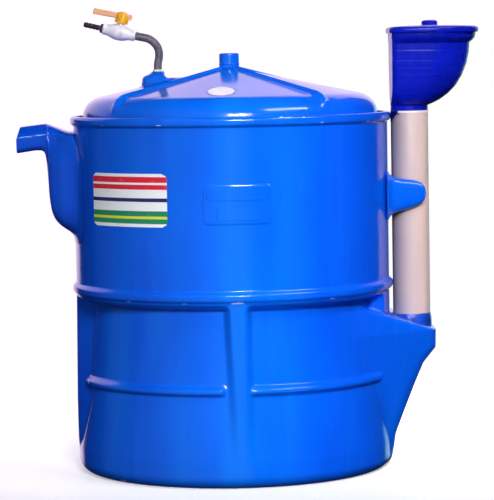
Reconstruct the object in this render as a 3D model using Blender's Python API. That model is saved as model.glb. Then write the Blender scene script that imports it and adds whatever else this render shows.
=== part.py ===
"""Floating-drum biogas digester of blue glass-fibre plastic, in metres, +Z up.

The tank's axis is the Z axis and the ground is z = 0. +X points to the inlet pipe and its hopper, -X to the
slurry outlet, and -Y to the front. The lower tank wall is one moulding whose outside is a radius that depends
on the angle and the height: four recessed panels between pilasters, and a pocket that takes the inlet pipe.
"""

import math

import bmesh
import bpy
from mathutils import Matrix, Vector

# Fits
GAP = 0.0003
RUNNING = 0.005

# Tank
TANK_R = 0.4625
WALL = 0.006
FLOOR_T = 0.008
FLOOR_FILLET = 0.010
BASE_ROUND = 0.0375
BAND_LOW = 0.523
BAND_HIGH = 0.557
BAND_OUT = 0.0098
RIM_LOW = 1.018
RIM_HIGH = 1.044
RIM_OUT = 0.0095

# Recessed panels and pilasters of the lower wall, angles in degrees from +X
PANEL_FOOT = 0.075
PANEL_SLOPE = 0.10
LEDGE_LOW = 0.492
LEDGE_HIGH = 0.516
FLANK = 3.6
FRONT_AT = 88.5
FRONT_HALF = 2.6
SIDE_HALF_HIGH = 28.5
SIDE_HALF_LOW = 9.5
SIDE_CUT = 34.0
FRONT_CUT = 7.5

# Horizontal ribs on the panels
RIB_AT = 0.275
RIB_HALF = 0.015
RIB_OUT = 0.0125
RIB_EDGE = 0.0012
RIB_SEAT = 0.0008
RIB_POCKET_END = 16.0
RIB_ROWS = (-1.0, -0.5, 0.0, 0.5, 1.0)

# Inlet pocket: its outer face by height, and the two planes of its sides
POCKET_FACE = (
    (0.03, 0.4560), (0.06, 0.4660), (0.093, 0.472), (0.163, 0.499), (0.233, 0.527), (0.304, 0.557),
    (0.348, 0.595), (0.400, 0.595),
)
POCKET_TOP_OUT = 0.402
POCKET_TOP_IN = 0.450
POCKET_FACE_HALF = 0.09
POCKET_SIDE_TILT = math.radians(64.7)
POCKET_BLEND = 0.012

# Inlet pipe, its holder and the collar of sealant at its foot
PIPE_AT = 0.528
PIPE_R = 0.055
PIPE_WALL = 0.0032
PIPE_FOOT = 0.370
PIPE_TOP = 1.044
COLLAR_TOP = 0.449
COLLAR_T = 0.0035
COLLAR_SEAT = 0.0035
HOLDER_LOW = 0.742
HOLDER_HIGH = 0.854
HOLDER_TIP_LOW = 0.768
HOLDER_TIP_HIGH = 0.838
HOLDER_REACH = 0.570
HOLDER_ARM = 0.028
HOLDER_CHAMFER = 0.014

# Hopper
NECK_TOP = 1.059
NECK_WALL = 0.0065
SPIGOT_FOOT = 1.012
HOPPER_WALL = 0.0035
HOPPER_TOP = 1.240
HOPPER_FLAT = 0.4745
HOPPER_HALF = 0.118
HOPPER_CURVE = (
    (1.0593, 0.5835), (1.066, 0.600), (1.075, 0.618), (1.092, 0.642), (1.115, 0.665), (1.145, 0.684),
    (1.180, 0.698), (1.215, 0.7055), (1.240, 0.7075),
)
HOPPER_RIM_TOP = 1.271
HOPPER_RIM_OUT = 0.018
HOPPER_RIM_BACK = 0.0015
LID_TOP = 1.289
LID_OVERHANG = 0.0085
LID_BACK = 0.0085
LID_EDGE = 0.018
LID_WALL = 0.0035
LID_DOME = 0.004
KNOB_AT = 0.5905
KNOB_R = 0.0235
KNOB_TOP = 1.3075

# Slurry outlet: loops from the tank wall to the end of the spout, each as the place of its foot (x, z), the
# place of its top (x, z), and half its width
OUTLET_WALL = 0.005
OUTLET_SEAT = 0.0009
OUTLET_CORNER = 0.62
OUTLET_LOOPS = (
    (-0.4633, 0.688, -0.4633, 0.9985, 0.168),
    (-0.4780, 0.704, -0.4800, 1.0030, 0.144),
    (-0.5050, 0.7265, -0.5050, 1.0110, 0.122),
    (-0.5230, 0.7500, -0.5250, 1.0180, 0.106),
    (-0.5315, 0.7900, -0.5340, 1.0215, 0.092),
    (-0.5365, 0.8700, -0.5390, 1.0238, 0.073),
    (-0.5405, 0.9150, -0.5440, 1.0243, 0.060),
    (-0.5560, 0.9420, -0.5560, 1.0235, 0.051),
)
SPOUT_LOOPS = (
    (-0.5563, 0.9420, -0.5563, 1.0235, 0.051),
    (-0.5900, 0.9425, -0.5880, 1.0200, 0.050),
    (-0.6280, 0.9375, -0.6220, 1.0160, 0.048),
)

# Gas holder
DRUM_R = 0.434
DRUM_WALL = 0.005
DRUM_FOOT = 0.5076
SHOULDER_LOW = 1.035
SHOULDER_IN = 0.380
SHOULDER_START = 20.0
ROOF_APEX = 1.181
ROOF_FALL = 0.2125
ROOF_RIB_ANGLES = {"front_left": -140.0, "front_right": -50.0, "back_right": 40.0, "back_left": 130.0}
ROOF_RIB_HIGH = 0.012
ROOF_RIB_WIDE = 0.021
ROOF_RIB_SEAT = 0.0008
ROOF_RIB_ON_CONE = (0.036, 0.215, 0.372)
ROOF_RIB_ON_SHOULDER = ((20.0, 1.0), (34.0, 0.85), (48.0, 0.5), (62.0, 0.1))
SLEEVE_R = 0.0255
SLEEVE_WALL = 0.004
SLEEVE_FOOT = 0.600
CAP_R = 0.0295
CAP_TOP = 1.222
CAP_LID = 0.005
CAP_BEAD = 1.190
POST_TOP = 1.170
POST_FOOT_R = 0.055
POST_FOOT_T = 0.006

# Gas outlet: boss, hose and ball valve
BOSS_AT = -0.210
BOSS_LONG = 0.050
BOSS_WIDE = 0.040
BOSS_SIDE_TOP = 1.157
BOSS_TOP = 1.1705
HOSE_R = 0.012
HOSE_ROUTE = (
    (-0.2100, 1.1710), (-0.2100, 1.1870), (-0.2085, 1.2000), (-0.2062, 1.2110), (-0.2055, 1.2230),
    (-0.2073, 1.2350), (-0.2120, 1.2460), (-0.2195, 1.2555), (-0.2295, 1.2635), (-0.2410, 1.2690),
    (-0.2620, 1.27355), (-0.2737, 1.27640),
)
RING_R = 0.0155
RING_T = 0.006
VALVE_FROM = (-0.2740, 1.2765)
VALVE_RISE = math.radians(13.5)
VALVE_LONG = 0.0985
VALVE_END_R = 0.0165
VALVE_R = 0.024
STEM_R = 0.012
HUB_R = 0.0195
HUB_FOOT = 0.0262
HUB_TOP = 0.0625
LEVER_FOOT = 0.0400
LEVER_HIGH = 0.0165
LEVER_WIDE = 0.0155
LEVER_LEFT = 0.087
LEVER_RIGHT = 0.028
TAIL_LONG = 0.057
TAIL_R = 0.008
TAIL_FLANGE_R = 0.0135
TAIL_WALL = 0.0045
TAIL_BARBS = 4

# Facets
ROUND = 60
PIPE_ROUND = 40
SMALL_ROUND = 24
FINE_ROUND = 288

# Colours, roughness and metallic value of each material
FINISHES = {
    "tank_blue": ((0.010, 0.095, 0.62), 0.22, 0.0),
    "drum_blue": ((0.010, 0.115, 0.66), 0.22, 0.0),
    "hopper_blue": ((0.014, 0.020, 0.42), 0.28, 0.0),
    "pipe_grey": ((0.62, 0.56, 0.56), 0.42, 0.0),
    "sealant_blue": ((0.008, 0.07, 0.45), 0.45, 0.0),
    "hose_grey": ((0.13, 0.12, 0.14), 0.5, 0.0),
    "ring_cream": ((0.80, 0.78, 0.52), 0.4, 0.0),
    "valve_white": ((0.86, 0.83, 0.86), 0.3, 0.0),
    "hub_amber": ((0.88, 0.42, 0.03), 0.3, 0.0),
    "lever_orange": ((0.85, 0.42, 0.22), 0.4, 0.0),
    "tail_black": ((0.02, 0.018, 0.02), 0.4, 0.0),
    "post_steel": ((0.45, 0.46, 0.47), 0.45, 1.0),
}


# Helpers


def clear_scene():
    for obj in list(bpy.data.objects):
        bpy.data.objects.remove(obj, do_unlink=True)


def finish_of(name):
    """The named material, made on first use."""
    material = bpy.data.materials.get(name)
    if material:
        return material
    colour, roughness, metallic = FINISHES[name]
    material = bpy.data.materials.new(name)
    material.use_nodes = True
    shader = material.node_tree.nodes["Principled BSDF"]
    shader.inputs["Base Color"].default_value = (*colour, 1.0)
    shader.inputs["Roughness"].default_value = roughness
    shader.inputs["Metallic"].default_value = metallic
    material.diffuse_color = (*colour, 1.0)
    return material


def piece(name, bm, finish, smooth=35.0):
    """The object of a bmesh, with its normals turned outward and its round faces shaded smooth."""
    bmesh.ops.recalc_face_normals(bm, faces=bm.faces)
    mesh = bpy.data.meshes.new(name)
    bm.to_mesh(mesh)
    bm.free()
    mesh.shade_smooth()
    mesh.set_sharp_from_angle(angle=math.radians(smooth))
    mesh.materials.append(finish_of(finish))
    obj = bpy.data.objects.new(name, mesh)
    bpy.context.scene.collection.objects.link(obj)
    return obj


def helper(obj):
    """Marks an object as a cutter or guide, which isn't part of the digester."""
    obj.hide_render = True
    obj.display_type = "WIRE"
    return obj


def combine(obj, other, operation):
    modifier = obj.modifiers.new(other.name, "BOOLEAN")
    modifier.operation = operation
    modifier.object = helper(other)
    modifier.solver = "EXACT"


def smoothstep(x):
    x = min(1.0, max(0.0, x))
    return x * x * (3.0 - 2.0 * x)


def along(table, x):
    """The value at x on a line through the (x, value) pairs of a table."""
    if x <= table[0][0]:
        return table[0][1]
    for (x0, v0), (x1, v1) in zip(table, table[1:]):
        if x <= x1:
            return v0 + (v1 - v0) * (x - x0) / (x1 - x0)
    return table[-1][1]


def blend_max(a, b, width):
    """The larger of two radii, with a fillet of about this width where they cross."""
    h = max(width - abs(a - b), 0.0) / width
    return max(a, b) + h * h * width * 0.25


def steps(low, high, count):
    return [low + (high - low) * i / count for i in range(count + 1)]


def arc(centre, radius, start, end, count):
    """Points along an arc in a plane, from start to end degrees."""
    return [
        (centre[0] + radius * math.cos(math.radians(a)), centre[1] + radius * math.sin(math.radians(a)))
        for a in steps(start, end, count)
    ]


def turned(name, profile, finish, count=ROUND, at=(0.0, 0.0), smooth=35.0):
    """A solid turned about a vertical axis at (x, y). A profile that starts and ends on the axis gives a
    disc or a rod, and one that stays clear of it gives a ring."""
    bm = bmesh.new()
    verts = [bm.verts.new((r + at[0], at[1], z)) for r, z in profile]
    edges = [bm.edges.new(pair) for pair in zip(verts, verts[1:])]
    if profile[0][0] > 0.0:
        edges.append(bm.edges.new((verts[-1], verts[0])))
    bmesh.ops.spin(
        bm,
        geom=verts + edges,
        cent=(at[0], at[1], 0.0),
        axis=(0, 0, 1),
        angle=math.tau,
        steps=count,
        use_merge=True,
    )
    bmesh.ops.remove_doubles(bm, verts=bm.verts, dist=1e-6)
    return piece(name, bm, finish, smooth)


def lofted(name, rings, finish, closed=False, smooth=35.0):
    """A solid through rings of points. Open ends are capped, and a closed loft joins its last ring to its
    first."""
    bm = bmesh.new()
    made = [[bm.verts.new(p) for p in ring] for ring in rings]
    pairs = list(zip(made, made[1:])) + ([(made[-1], made[0])] if closed else [])
    for low, high in pairs:
        count = len(low)
        for i in range(count):
            j = (i + 1) % count
            bm.faces.new((low[i], low[j], high[j], high[i]))
    if not closed:
        bm.faces.new(made[0])
        bm.faces.new(made[-1])
    return piece(name, bm, finish, smooth)


def polar(radius, degrees, z):
    a = math.radians(degrees)
    return Vector((radius * math.cos(a), radius * math.sin(a), z))


# The lower wall as a radius by angle and height


def side_half(z):
    """Half the angle that a side pilaster takes at this height."""
    share = (z - PANEL_FOOT) / (LEDGE_LOW - PANEL_FOOT)
    return SIDE_HALF_LOW + (SIDE_HALF_HIGH - SIDE_HALF_LOW) * min(1.0, max(0.0, share))


def panel_radius(degrees, z):
    t = abs((degrees + 180.0) % 360.0 - 180.0)
    inside = smoothstep((t - side_half(z)) / FLANK)
    inside *= smoothstep((180.0 - t - side_half(z)) / FLANK)
    inside *= smoothstep((abs(t - FRONT_AT) - FRONT_HALF) / FLANK)
    depth = PANEL_SLOPE * max(0.0, z - PANEL_FOOT)
    depth *= 1.0 - smoothstep((z - LEDGE_LOW) / (LEDGE_HIGH - LEDGE_LOW))
    return TANK_R - depth * inside


def pocket_face(z):
    """How far the pocket's outer face lies from the tank's axis."""
    if z <= POCKET_TOP_OUT:
        return along(POCKET_FACE, z)
    share = (z - POCKET_TOP_OUT) / (POCKET_TOP_IN - POCKET_TOP_OUT)
    return POCKET_FACE[-1][1] + (TANK_R - POCKET_FACE[-1][1]) * share


def pocket_radius(degrees, z):
    face = pocket_face(z)
    if face < TANK_R - 0.02:
        return 0.0
    a = abs(math.radians((degrees + 180.0) % 360.0 - 180.0))
    if a > math.radians(60.0):
        return 0.0
    nx = math.cos(POCKET_SIDE_TILT)
    ny = math.sin(POCKET_SIDE_TILT)
    reach = nx * (face - 0.015) + ny * POCKET_FACE_HALF
    side = reach / (nx * math.cos(a) + ny * math.sin(a))
    front = face / math.cos(a)
    return -blend_max(-front, -side, 0.03)


def lower_radius(degrees, z):
    return blend_max(panel_radius(degrees, z), pocket_radius(degrees, z), POCKET_BLEND)


def plain_radius(degrees, z):
    return TANK_R


def outward(radius_of, degrees, z):
    """The outward normal of a wall given as a radius by angle and height."""
    e = 1e-4
    r = radius_of(degrees, z)
    turn = (radius_of(degrees + math.degrees(e), z) - radius_of(degrees - math.degrees(e), z)) / (2.0 * e)
    rise = (radius_of(degrees, z + e) - radius_of(degrees, z - e)) / (2.0 * e)
    a = math.radians(degrees)
    return Vector(
        (turn * math.sin(a) + r * math.cos(a), r * math.sin(a) - turn * math.cos(a), -r * rise)
    ).normalized()


def wall_part(name, angles, heights, thickness, finish, radius_of):
    """A stretch of moulded wall of even thickness. Its top and bottom edges are level."""
    trim = math.degrees(GAP / 2.0 / TANK_R)
    angles = [angles[0] + trim, *angles[1:-1], angles[-1] - trim]
    outer = []
    inner = []
    for z in heights:
        level = z in (heights[0], heights[-1])
        outer_row = []
        inner_row = []
        for a in angles:
            point = polar(radius_of(a, z), a, z)
            normal = outward(radius_of, a, z)
            if level:
                normal = Vector((normal.x, normal.y, 0.0)).normalized()
            outer_row.append(point)
            inner_row.append(point - normal * thickness)
        outer.append(outer_row)
        inner.append(inner_row)
    return slab(name, outer, inner, finish)


def slab(name, outer, inner, finish):
    """A solid between two grids of points of the same size, closed round its edge. Every cell is cut along
    the same diagonal, so that a piece that follows another's grid lies evenly on it."""
    bm = bmesh.new()
    front = [[bm.verts.new(p) for p in row] for row in outer]
    back = [[bm.verts.new(p) for p in row] for row in inner]
    rows = len(front)
    columns = len(front[0])
    for i in range(rows - 1):
        for j in range(columns - 1):
            bm.faces.new((front[i][j], front[i][j + 1], front[i + 1][j + 1]))
            bm.faces.new((front[i][j], front[i + 1][j + 1], front[i + 1][j]))
            bm.faces.new((back[i][j], back[i + 1][j + 1], back[i][j + 1]))
            bm.faces.new((back[i][j], back[i + 1][j], back[i + 1][j + 1]))
    edge = [(i, 0) for i in range(rows)] + [(rows - 1, j) for j in range(1, columns)]
    edge += [(i, columns - 1) for i in range(rows - 2, -1, -1)] + [(0, j) for j in range(columns - 2, 0, -1)]
    for (i, j), (k, m) in zip(edge, edge[1:] + edge[:1]):
        bm.faces.new((front[i][j], front[k][m], back[k][m], back[i][j]))
    return piece(name, bm, finish)


# Tank


def tank_floor():
    """A flat floor whose edge turns up into the wall. It stops just below the wall's foot."""
    turn = (TANK_R - BASE_ROUND, BASE_ROUND)
    stop = -math.degrees(math.asin(GAP / BASE_ROUND))
    outside = arc(turn, BASE_ROUND, -90.0, stop, 4)
    inside = arc(turn, BASE_ROUND - WALL, 0.0, -90.0, 3)
    inside[0] = (inside[0][0], BASE_ROUND - GAP)
    flat = TANK_R - BASE_ROUND - FLOOR_FILLET
    profile = [(0.0, 0.0), *outside, *inside[:-1], (flat, FLOOR_T), (0.0, FLOOR_T)]
    return turned("tank_floor", profile, "tank_blue")


def lower_wall():
    foot = BASE_ROUND
    top = BAND_LOW - GAP
    ledge = [LEDGE_LOW, 0.500, 0.508, LEDGE_HIGH, top]
    ribbed = [RIB_AT + RIB_HALF * share for share in RIB_ROWS]
    plain = [foot, PANEL_FOOT, *ledge]
    skewed = [foot, PANEL_FOOT, 0.16, *ribbed, 0.38, *ledge]
    low_pocket = [foot, 0.06, 0.093, 0.163, 0.233]
    high_pocket = [0.304, 0.348, 0.375, 0.395, 0.408, 0.440, 0.452]
    pocketed = [*low_pocket, *ribbed, *high_pocket, *ledge]
    side_angles = steps(180.0 - SIDE_CUT, 180.0 + SIDE_CUT, 30)
    wall_part("inlet_pocket", steps(-SIDE_CUT, SIDE_CUT, 34), pocketed, WALL, "tank_blue", lower_radius)
    wall_part("side_pilaster", side_angles, skewed, WALL, "tank_blue", lower_radius)
    for name, sign in (("front", -1.0), ("back", 1.0)):
        low = FRONT_AT - FRONT_CUT
        high = FRONT_AT + FRONT_CUT
        post = sorted(sign * a for a in steps(low, high, 10))
        right = sorted(sign * a for a in steps(SIDE_CUT, low, 9))
        left = sorted(sign * a for a in steps(high, 180.0 - SIDE_CUT, 9))
        wall_part(f"{name}_pilaster", post, plain, WALL, "tank_blue", lower_radius)
        wall_part(f"{name}_right_panel", right, plain, WALL, "tank_blue", lower_radius)
        wall_part(f"{name}_left_panel", left, plain, WALL, "tank_blue", lower_radius)
        near_pocket = [*steps(RIB_POCKET_END, SIDE_CUT, 9), *steps(SIDE_CUT, low, 9)[1:]]
        near_outlet = [*steps(high, 180.0 - SIDE_CUT, 9), *side_angles[1:6]]
        panel_rib(f"{name}_right_rib", sign, near_pocket)
        panel_rib(f"{name}_left_rib", sign, near_outlet)


def panel_rib(name, sign, angles):
    """A half-round rib that follows the wall, with ends that fade into it."""
    angles = sorted(sign * a for a in angles)
    last = len(angles) - 1
    outer = []
    inner = []
    for share in RIB_ROWS:
        z = RIB_AT + RIB_HALF * share
        bulge = RIB_OUT * math.sqrt(max(0.0, 1.0 - share * share))
        outer_row = []
        inner_row = []
        for i, a in enumerate(angles):
            fade = 0.25 if i in (0, last) else 1.0
            base = lower_radius(a, z) + RIB_SEAT
            inner_row.append(polar(base, a, z))
            outer_row.append(polar(base + RIB_EDGE + bulge * fade, a, z))
        outer.append(outer_row)
        inner.append(inner_row)
    return slab(name, outer, inner, "tank_blue")


def waist_band():
    middle = (BAND_LOW + BAND_HIGH) / 2.0
    half = (BAND_HIGH - BAND_LOW) / 2.0
    bulge = [
        (TANK_R + BAND_OUT * math.cos(math.radians(a)), middle + half * math.sin(math.radians(a)))
        for a in steps(-90.0, 90.0, 4)
    ]
    profile = [(TANK_R - WALL, BAND_LOW), *bulge, (TANK_R - WALL, BAND_HIGH)]
    return turned("waist_band", profile, "tank_blue")


def upper_wall():
    """Three plain stretches, and one on the left with the window that leads to the outlet channel."""
    heights = [BAND_HIGH + GAP, RIM_LOW - GAP]
    for name, middle in (("right", 0.0), ("back", 90.0), ("left", 180.0), ("front", 270.0)):
        angles = steps(middle - 45.0, middle + 45.0, 22)
        made = wall_part(f"upper_wall_{name}", angles, heights, WALL, "tank_blue", plain_radius)
        if name == "left":
            combine(made, outlet_window(), "DIFFERENCE")


def top_rim():
    """A rolled flange: level below, round outside and on top."""
    outside = TANK_R + RIM_OUT
    profile = [
        (TANK_R - WALL, RIM_LOW), (TANK_R, RIM_LOW), (outside, RIM_LOW + 0.009), (outside, RIM_HIGH - 0.006),
        (outside - 0.005, RIM_HIGH), (TANK_R - WALL, RIM_HIGH),
    ]
    return turned("top_rim", profile, "tank_blue")


# Slurry outlet


def rounded_loop(wide, tall, corner):
    """Points (y, z) round a rectangle of half sizes wide and tall, with round corners."""
    points = []
    flat_y = wide - corner
    flat_z = tall - corner
    turns = ((1, 1, 0.0), (-1, 1, 90.0), (-1, -1, 180.0), (1, -1, 270.0))
    for side_y, side_z, start in turns:
        centre = (side_y * flat_y, side_z * flat_z)
        points += arc(centre, corner, start, start + 90.0, 3)
        across = side_y * side_z > 0
        run = (-2.0 * side_y * flat_y, 0.0) if across else (0.0, -2.0 * side_z * flat_z)
        count = 4 if across else 3
        last = points[-1]
        points += [(last[0] + run[0] * k / count, last[1] + run[1] * k / count) for k in range(1, count)]
    return points


def outlet_loop(key, inset):
    """One loop of the outlet, standing across its way out."""
    foot_x, foot_z, top_x, top_z, half = key
    middle = (foot_z + top_z) / 2.0
    tall = (top_z - foot_z) / 2.0
    corner = OUTLET_CORNER * min(half, tall)
    points = []
    for y, rise in rounded_loop(half - inset, tall - inset, corner - inset * 0.6):
        share = (rise + tall) / (2.0 * tall)
        points.append((foot_x + (top_x - foot_x) * share, y, middle + rise))
    return points


def onto_wall(points, radius):
    return [(-math.sqrt(radius * radius - y * y), y, z) for x, y, z in points]


def pushed(points, distance):
    return [(x + distance, y, z) for x, y, z in points]


def outlet_channel():
    seat = TANK_R + OUTLET_SEAT
    outer = [outlet_loop(key, 0.0) for key in OUTLET_LOOPS]
    inner = [outlet_loop(key, OUTLET_WALL) for key in OUTLET_LOOPS]
    outer[0] = onto_wall(outer[0], seat)
    inner[0] = onto_wall(inner[0], seat)
    for i in range(2, len(inner) - 1):
        inner[i] = pushed(inner[i], OUTLET_WALL)
    return lofted("outlet_channel", outer + inner[::-1], "tank_blue", closed=True)


def outlet_spout():
    outer = [outlet_loop(key, 0.0) for key in SPOUT_LOOPS]
    inner = [outlet_loop(key, OUTLET_WALL) for key in SPOUT_LOOPS]
    return lofted("outlet_spout", outer + inner[::-1], "tank_blue", closed=True)


def outlet_window():
    loop = outlet_loop(OUTLET_LOOPS[0], OUTLET_WALL)
    near = [(-TANK_R * 0.8, y, z) for x, y, z in loop]
    far = [(-TANK_R * 1.1, y, z) for x, y, z in loop]
    return lofted("outlet_window_cutter", [near, far], "tank_blue")


# Inlet pipe and hopper


def ring_points(radius, z, count=PIPE_ROUND):
    return [
        (PIPE_AT + radius * math.cos(math.tau * i / count), radius * math.sin(math.tau * i / count), z)
        for i in range(count)
    ]


def inlet_pipe():
    bore = PIPE_R - PIPE_WALL
    profile = [(bore, PIPE_FOOT), (PIPE_R, PIPE_FOOT), (PIPE_R, PIPE_TOP), (bore, PIPE_TOP)]
    return turned("inlet_pipe", profile, "pipe_grey", count=PIPE_ROUND, at=(PIPE_AT, 0.0))


def pocket_hole():
    """Opens the pocket's top for the pipe."""
    rings = [ring_points(PIPE_R + 2.0 * GAP, z) for z in (POCKET_TOP_OUT - 0.05, POCKET_TOP_IN + 0.02)]
    combine(bpy.data.objects["inlet_pocket"], lofted("pocket_hole_cutter", rings, "tank_blue"), "DIFFERENCE")


def pocket_top(x, y):
    """The height of the pocket's sloping top above a point."""
    slope = (POCKET_TOP_IN - POCKET_TOP_OUT) / (POCKET_FACE[-1][1] - TANK_R)
    return POCKET_TOP_OUT + (POCKET_FACE[-1][1] - math.hypot(x, y)) * slope


def pocket_collar():
    inside = PIPE_R + GAP
    outside = inside + COLLAR_T
    rings = [
        [(x, y, pocket_top(x, y) + COLLAR_SEAT) for x, y, z in ring_points(outside, 0.0)],
        ring_points(outside, COLLAR_TOP - 0.002),
        ring_points(inside + 0.001, COLLAR_TOP),
        ring_points(inside, COLLAR_TOP),
        [(x, y, pocket_top(x, y) + COLLAR_SEAT) for x, y, z in ring_points(inside, 0.0)],
    ]
    return lofted("pocket_collar", rings, "sealant_blue", closed=True)


def holder_block():
    """The solid block that the fork is cut from, as level sections from the wall outward."""
    half = PIPE_R + GAP + HOLDER_ARM
    stations = (
        (TANK_R - 0.030, HOLDER_LOW - 0.008, HOLDER_HIGH + 0.008, half + 0.014),
        (TANK_R + 0.004, HOLDER_LOW, HOLDER_HIGH, half + 0.004),
        (TANK_R + 0.016, HOLDER_LOW + 0.010, HOLDER_HIGH - 0.006, half),
        (TANK_R + 0.060, HOLDER_TIP_LOW - 0.006, HOLDER_TIP_HIGH + 0.004, half),
        (HOLDER_REACH - 0.018, HOLDER_TIP_LOW, HOLDER_TIP_HIGH, half - 0.002),
        (HOLDER_REACH - 0.005, HOLDER_TIP_LOW + 0.008, HOLDER_TIP_HIGH - 0.008, half - 0.006),
        (HOLDER_REACH, HOLDER_TIP_LOW + 0.020, HOLDER_TIP_HIGH - 0.020, half - 0.012),
    )
    rings = []
    for x, low, high, wide in stations:
        cut = min(HOLDER_CHAMFER, (high - low) / 3.0)
        corners = (
            (-wide + cut, low), (wide - cut, low), (wide, low + cut), (wide, high - cut),
            (wide - cut, high), (-wide + cut, high), (-wide, high - cut), (-wide, low + cut),
        )
        rings.append([(x, y, z) for y, z in corners])
    return lofted("pipe_holder", rings, "tank_blue", smooth=50.0)


def pipe_holder():
    """A fork moulded on the tank, with an arm on each side of the pipe."""
    fork = holder_block()
    mouth = PIPE_R + GAP
    below = HOLDER_LOW - 0.03
    above = HOLDER_HIGH + 0.03
    front = HOLDER_REACH + 0.02
    plan = ((PIPE_AT, -mouth), (front, -mouth), (front, mouth), (PIPE_AT, mouth))
    way = [ring_points(mouth, z) for z in (below, above)]
    opening = [[(x, y, z) for x, y in plan] for z in (below, above)]
    wall = [(0.0, below), (TANK_R + GAP, below), (TANK_R + GAP, above), (0.0, above)]
    combine(fork, lofted("pipe_way_cutter", way, "tank_blue"), "DIFFERENCE")
    combine(fork, lofted("holder_mouth_cutter", opening, "tank_blue"), "DIFFERENCE")
    combine(fork, turned("holder_seat_cutter", wall, "tank_blue", count=FINE_ROUND), "DIFFERENCE")
    return fork


def hopper_neck():
    """A ring that stands on the pipe, with a spigot that reaches down inside it."""
    spigot = PIPE_R - PIPE_WALL - 3.0 * GAP
    bore = PIPE_R - NECK_WALL
    seat = PIPE_TOP + GAP
    profile = [
        (spigot, SPIGOT_FOOT), (spigot, seat), (PIPE_R, seat), (PIPE_R, NECK_TOP), (bore, NECK_TOP),
        (bore, SPIGOT_FOOT),
    ]
    return turned("hopper_neck", profile, "hopper_blue", count=PIPE_ROUND, at=(PIPE_AT, 0.0))


def d_loop(flat, reach, half, corner, z):
    """A D in plan: a flat side at x = flat with rounded corners, and a round end out to x = reach."""
    round_end = arc((reach - half, 0.0), half, -90.0, 90.0, 14)
    back_corner = arc((flat + corner - 1e-4, half - corner), corner, 90.0, 180.0, 4)
    front_corner = arc((flat + corner - 1e-4, corner - half), corner, 180.0, 270.0, 4)
    return [(x, y, z) for x, y in round_end + back_corner + front_corner]


def hopper_section(z, inset=0.0):
    reach = along(HOPPER_CURVE, z)
    low_z, low_reach = HOPPER_CURVE[0]
    share = (reach - low_reach) / (HOPPER_CURVE[-1][1] - low_reach)
    half = PIPE_R + (HOPPER_HALF - PIPE_R) * share**0.9
    flat = PIPE_AT - PIPE_R + (HOPPER_FLAT - PIPE_AT + PIPE_R) * smoothstep((z - low_z) / 0.05)
    corner = PIPE_R + (0.016 - PIPE_R) * smoothstep(share * 1.6)
    return d_loop(flat + inset, reach - inset, half - inset, max(0.006, corner - inset), z)


def hopper_bowl():
    heights = [z for z, reach in HOPPER_CURVE]
    outer = [hopper_section(z) for z in heights]
    inner = [hopper_section(z, HOPPER_WALL) for z in heights]
    return lofted("hopper_bowl", outer + inner[::-1], "hopper_blue", closed=True)


def d_rings(levels):
    """D loops, each level as (spread beyond the bowl's top, spread of its flat side, z)."""
    rings = []
    for spread, back, z in levels:
        reach = HOPPER_CURVE[-1][1] + spread
        corner = max(0.008, 0.016 + spread)
        rings.append(d_loop(HOPPER_FLAT - back, reach, HOPPER_HALF + spread, corner, z))
    return rings


def hopper_rim():
    """A thin collar that flares from the bowl's top and stands up round its mouth."""
    low = HOPPER_TOP + GAP
    high = HOPPER_RIM_TOP
    out = HOPPER_RIM_OUT
    back = HOPPER_RIM_BACK
    wall = HOPPER_WALL
    outer = [(0.0, 0.0, low), (0.006, 0.0005, low + 0.001), (out, back, low + 0.010), (out, back, high)]
    inner = [(out - wall, back - wall, high), (out - wall, back - wall, low + 0.012)]
    foot = [(0.004, -0.003, low + wall + 0.001), (-wall, -wall, low + wall), (-wall, -wall, low)]
    return lofted("hopper_rim", d_rings(outer + inner + foot), "hopper_blue", closed=True)


def hopper_lid():
    """A thin lid, slightly domed, with a thick rolled edge that rests on the hopper's rim."""
    seat = HOPPER_RIM_TOP + GAP
    out = HOPPER_RIM_OUT + LID_OVERHANG
    under = LID_TOP - LID_WALL
    profile = [
        (0.0965, LID_TOP + LID_DOME), (0.0465, LID_TOP + LID_DOME - 0.001), (0.006, LID_TOP),
        (0.0, LID_TOP - 0.006), (0.0, seat), (LID_EDGE, seat), (LID_EDGE, under), (0.0965, under + LID_DOME),
    ]
    levels = [(out - inset, LID_BACK - inset, z) for inset, z in profile]
    return lofted("hopper_lid", d_rings(levels), "hopper_blue")


def lid_knob():
    foot = LID_TOP + LID_DOME + GAP
    profile = [
        (0.0, foot), (KNOB_R - 0.001, foot), (KNOB_R - 0.002, foot + 0.003), (KNOB_R, foot + 0.006),
        (KNOB_R, foot + 0.010), (KNOB_R - 0.004, KNOB_TOP), (0.0, KNOB_TOP + 0.0005),
    ]
    return turned("lid_knob", profile, "hopper_blue", count=SMALL_ROUND, at=(KNOB_AT, 0.0))


# Gas holder


def roof_height(r):
    return ROOF_APEX - ROOF_FALL * r


def drum_skirt():
    inside = DRUM_R - DRUM_WALL
    top = SHOULDER_LOW - GAP
    hem = DRUM_FOOT + 0.003
    profile = [(inside, DRUM_FOOT), (DRUM_R - 0.002, DRUM_FOOT), (DRUM_R, hem), (DRUM_R, top), (inside, top)]
    return turned("drum_skirt", profile, "drum_blue")


def shoulder(inset, start, end, count):
    """Points (r, z) of the round shoulder between the roof's cone and the skirt."""
    span = DRUM_R - SHOULDER_IN - inset
    rise = roof_height(SHOULDER_IN) - SHOULDER_LOW - inset
    return [
        (SHOULDER_IN + span * math.sin(math.radians(a)), SHOULDER_LOW + rise * math.cos(math.radians(a)))
        for a in steps(start, end, count)
    ]


def drum_roof():
    hole = SLEEVE_R + GAP
    outside = shoulder(0.0, SHOULDER_START, 90.0, 5)
    inside = shoulder(DRUM_WALL, 90.0, SHOULDER_START, 4)
    profile = [(hole, roof_height(hole)), *outside, *inside, (hole, roof_height(hole) - DRUM_WALL)]
    return turned("drum_roof", profile, "drum_blue")


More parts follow.
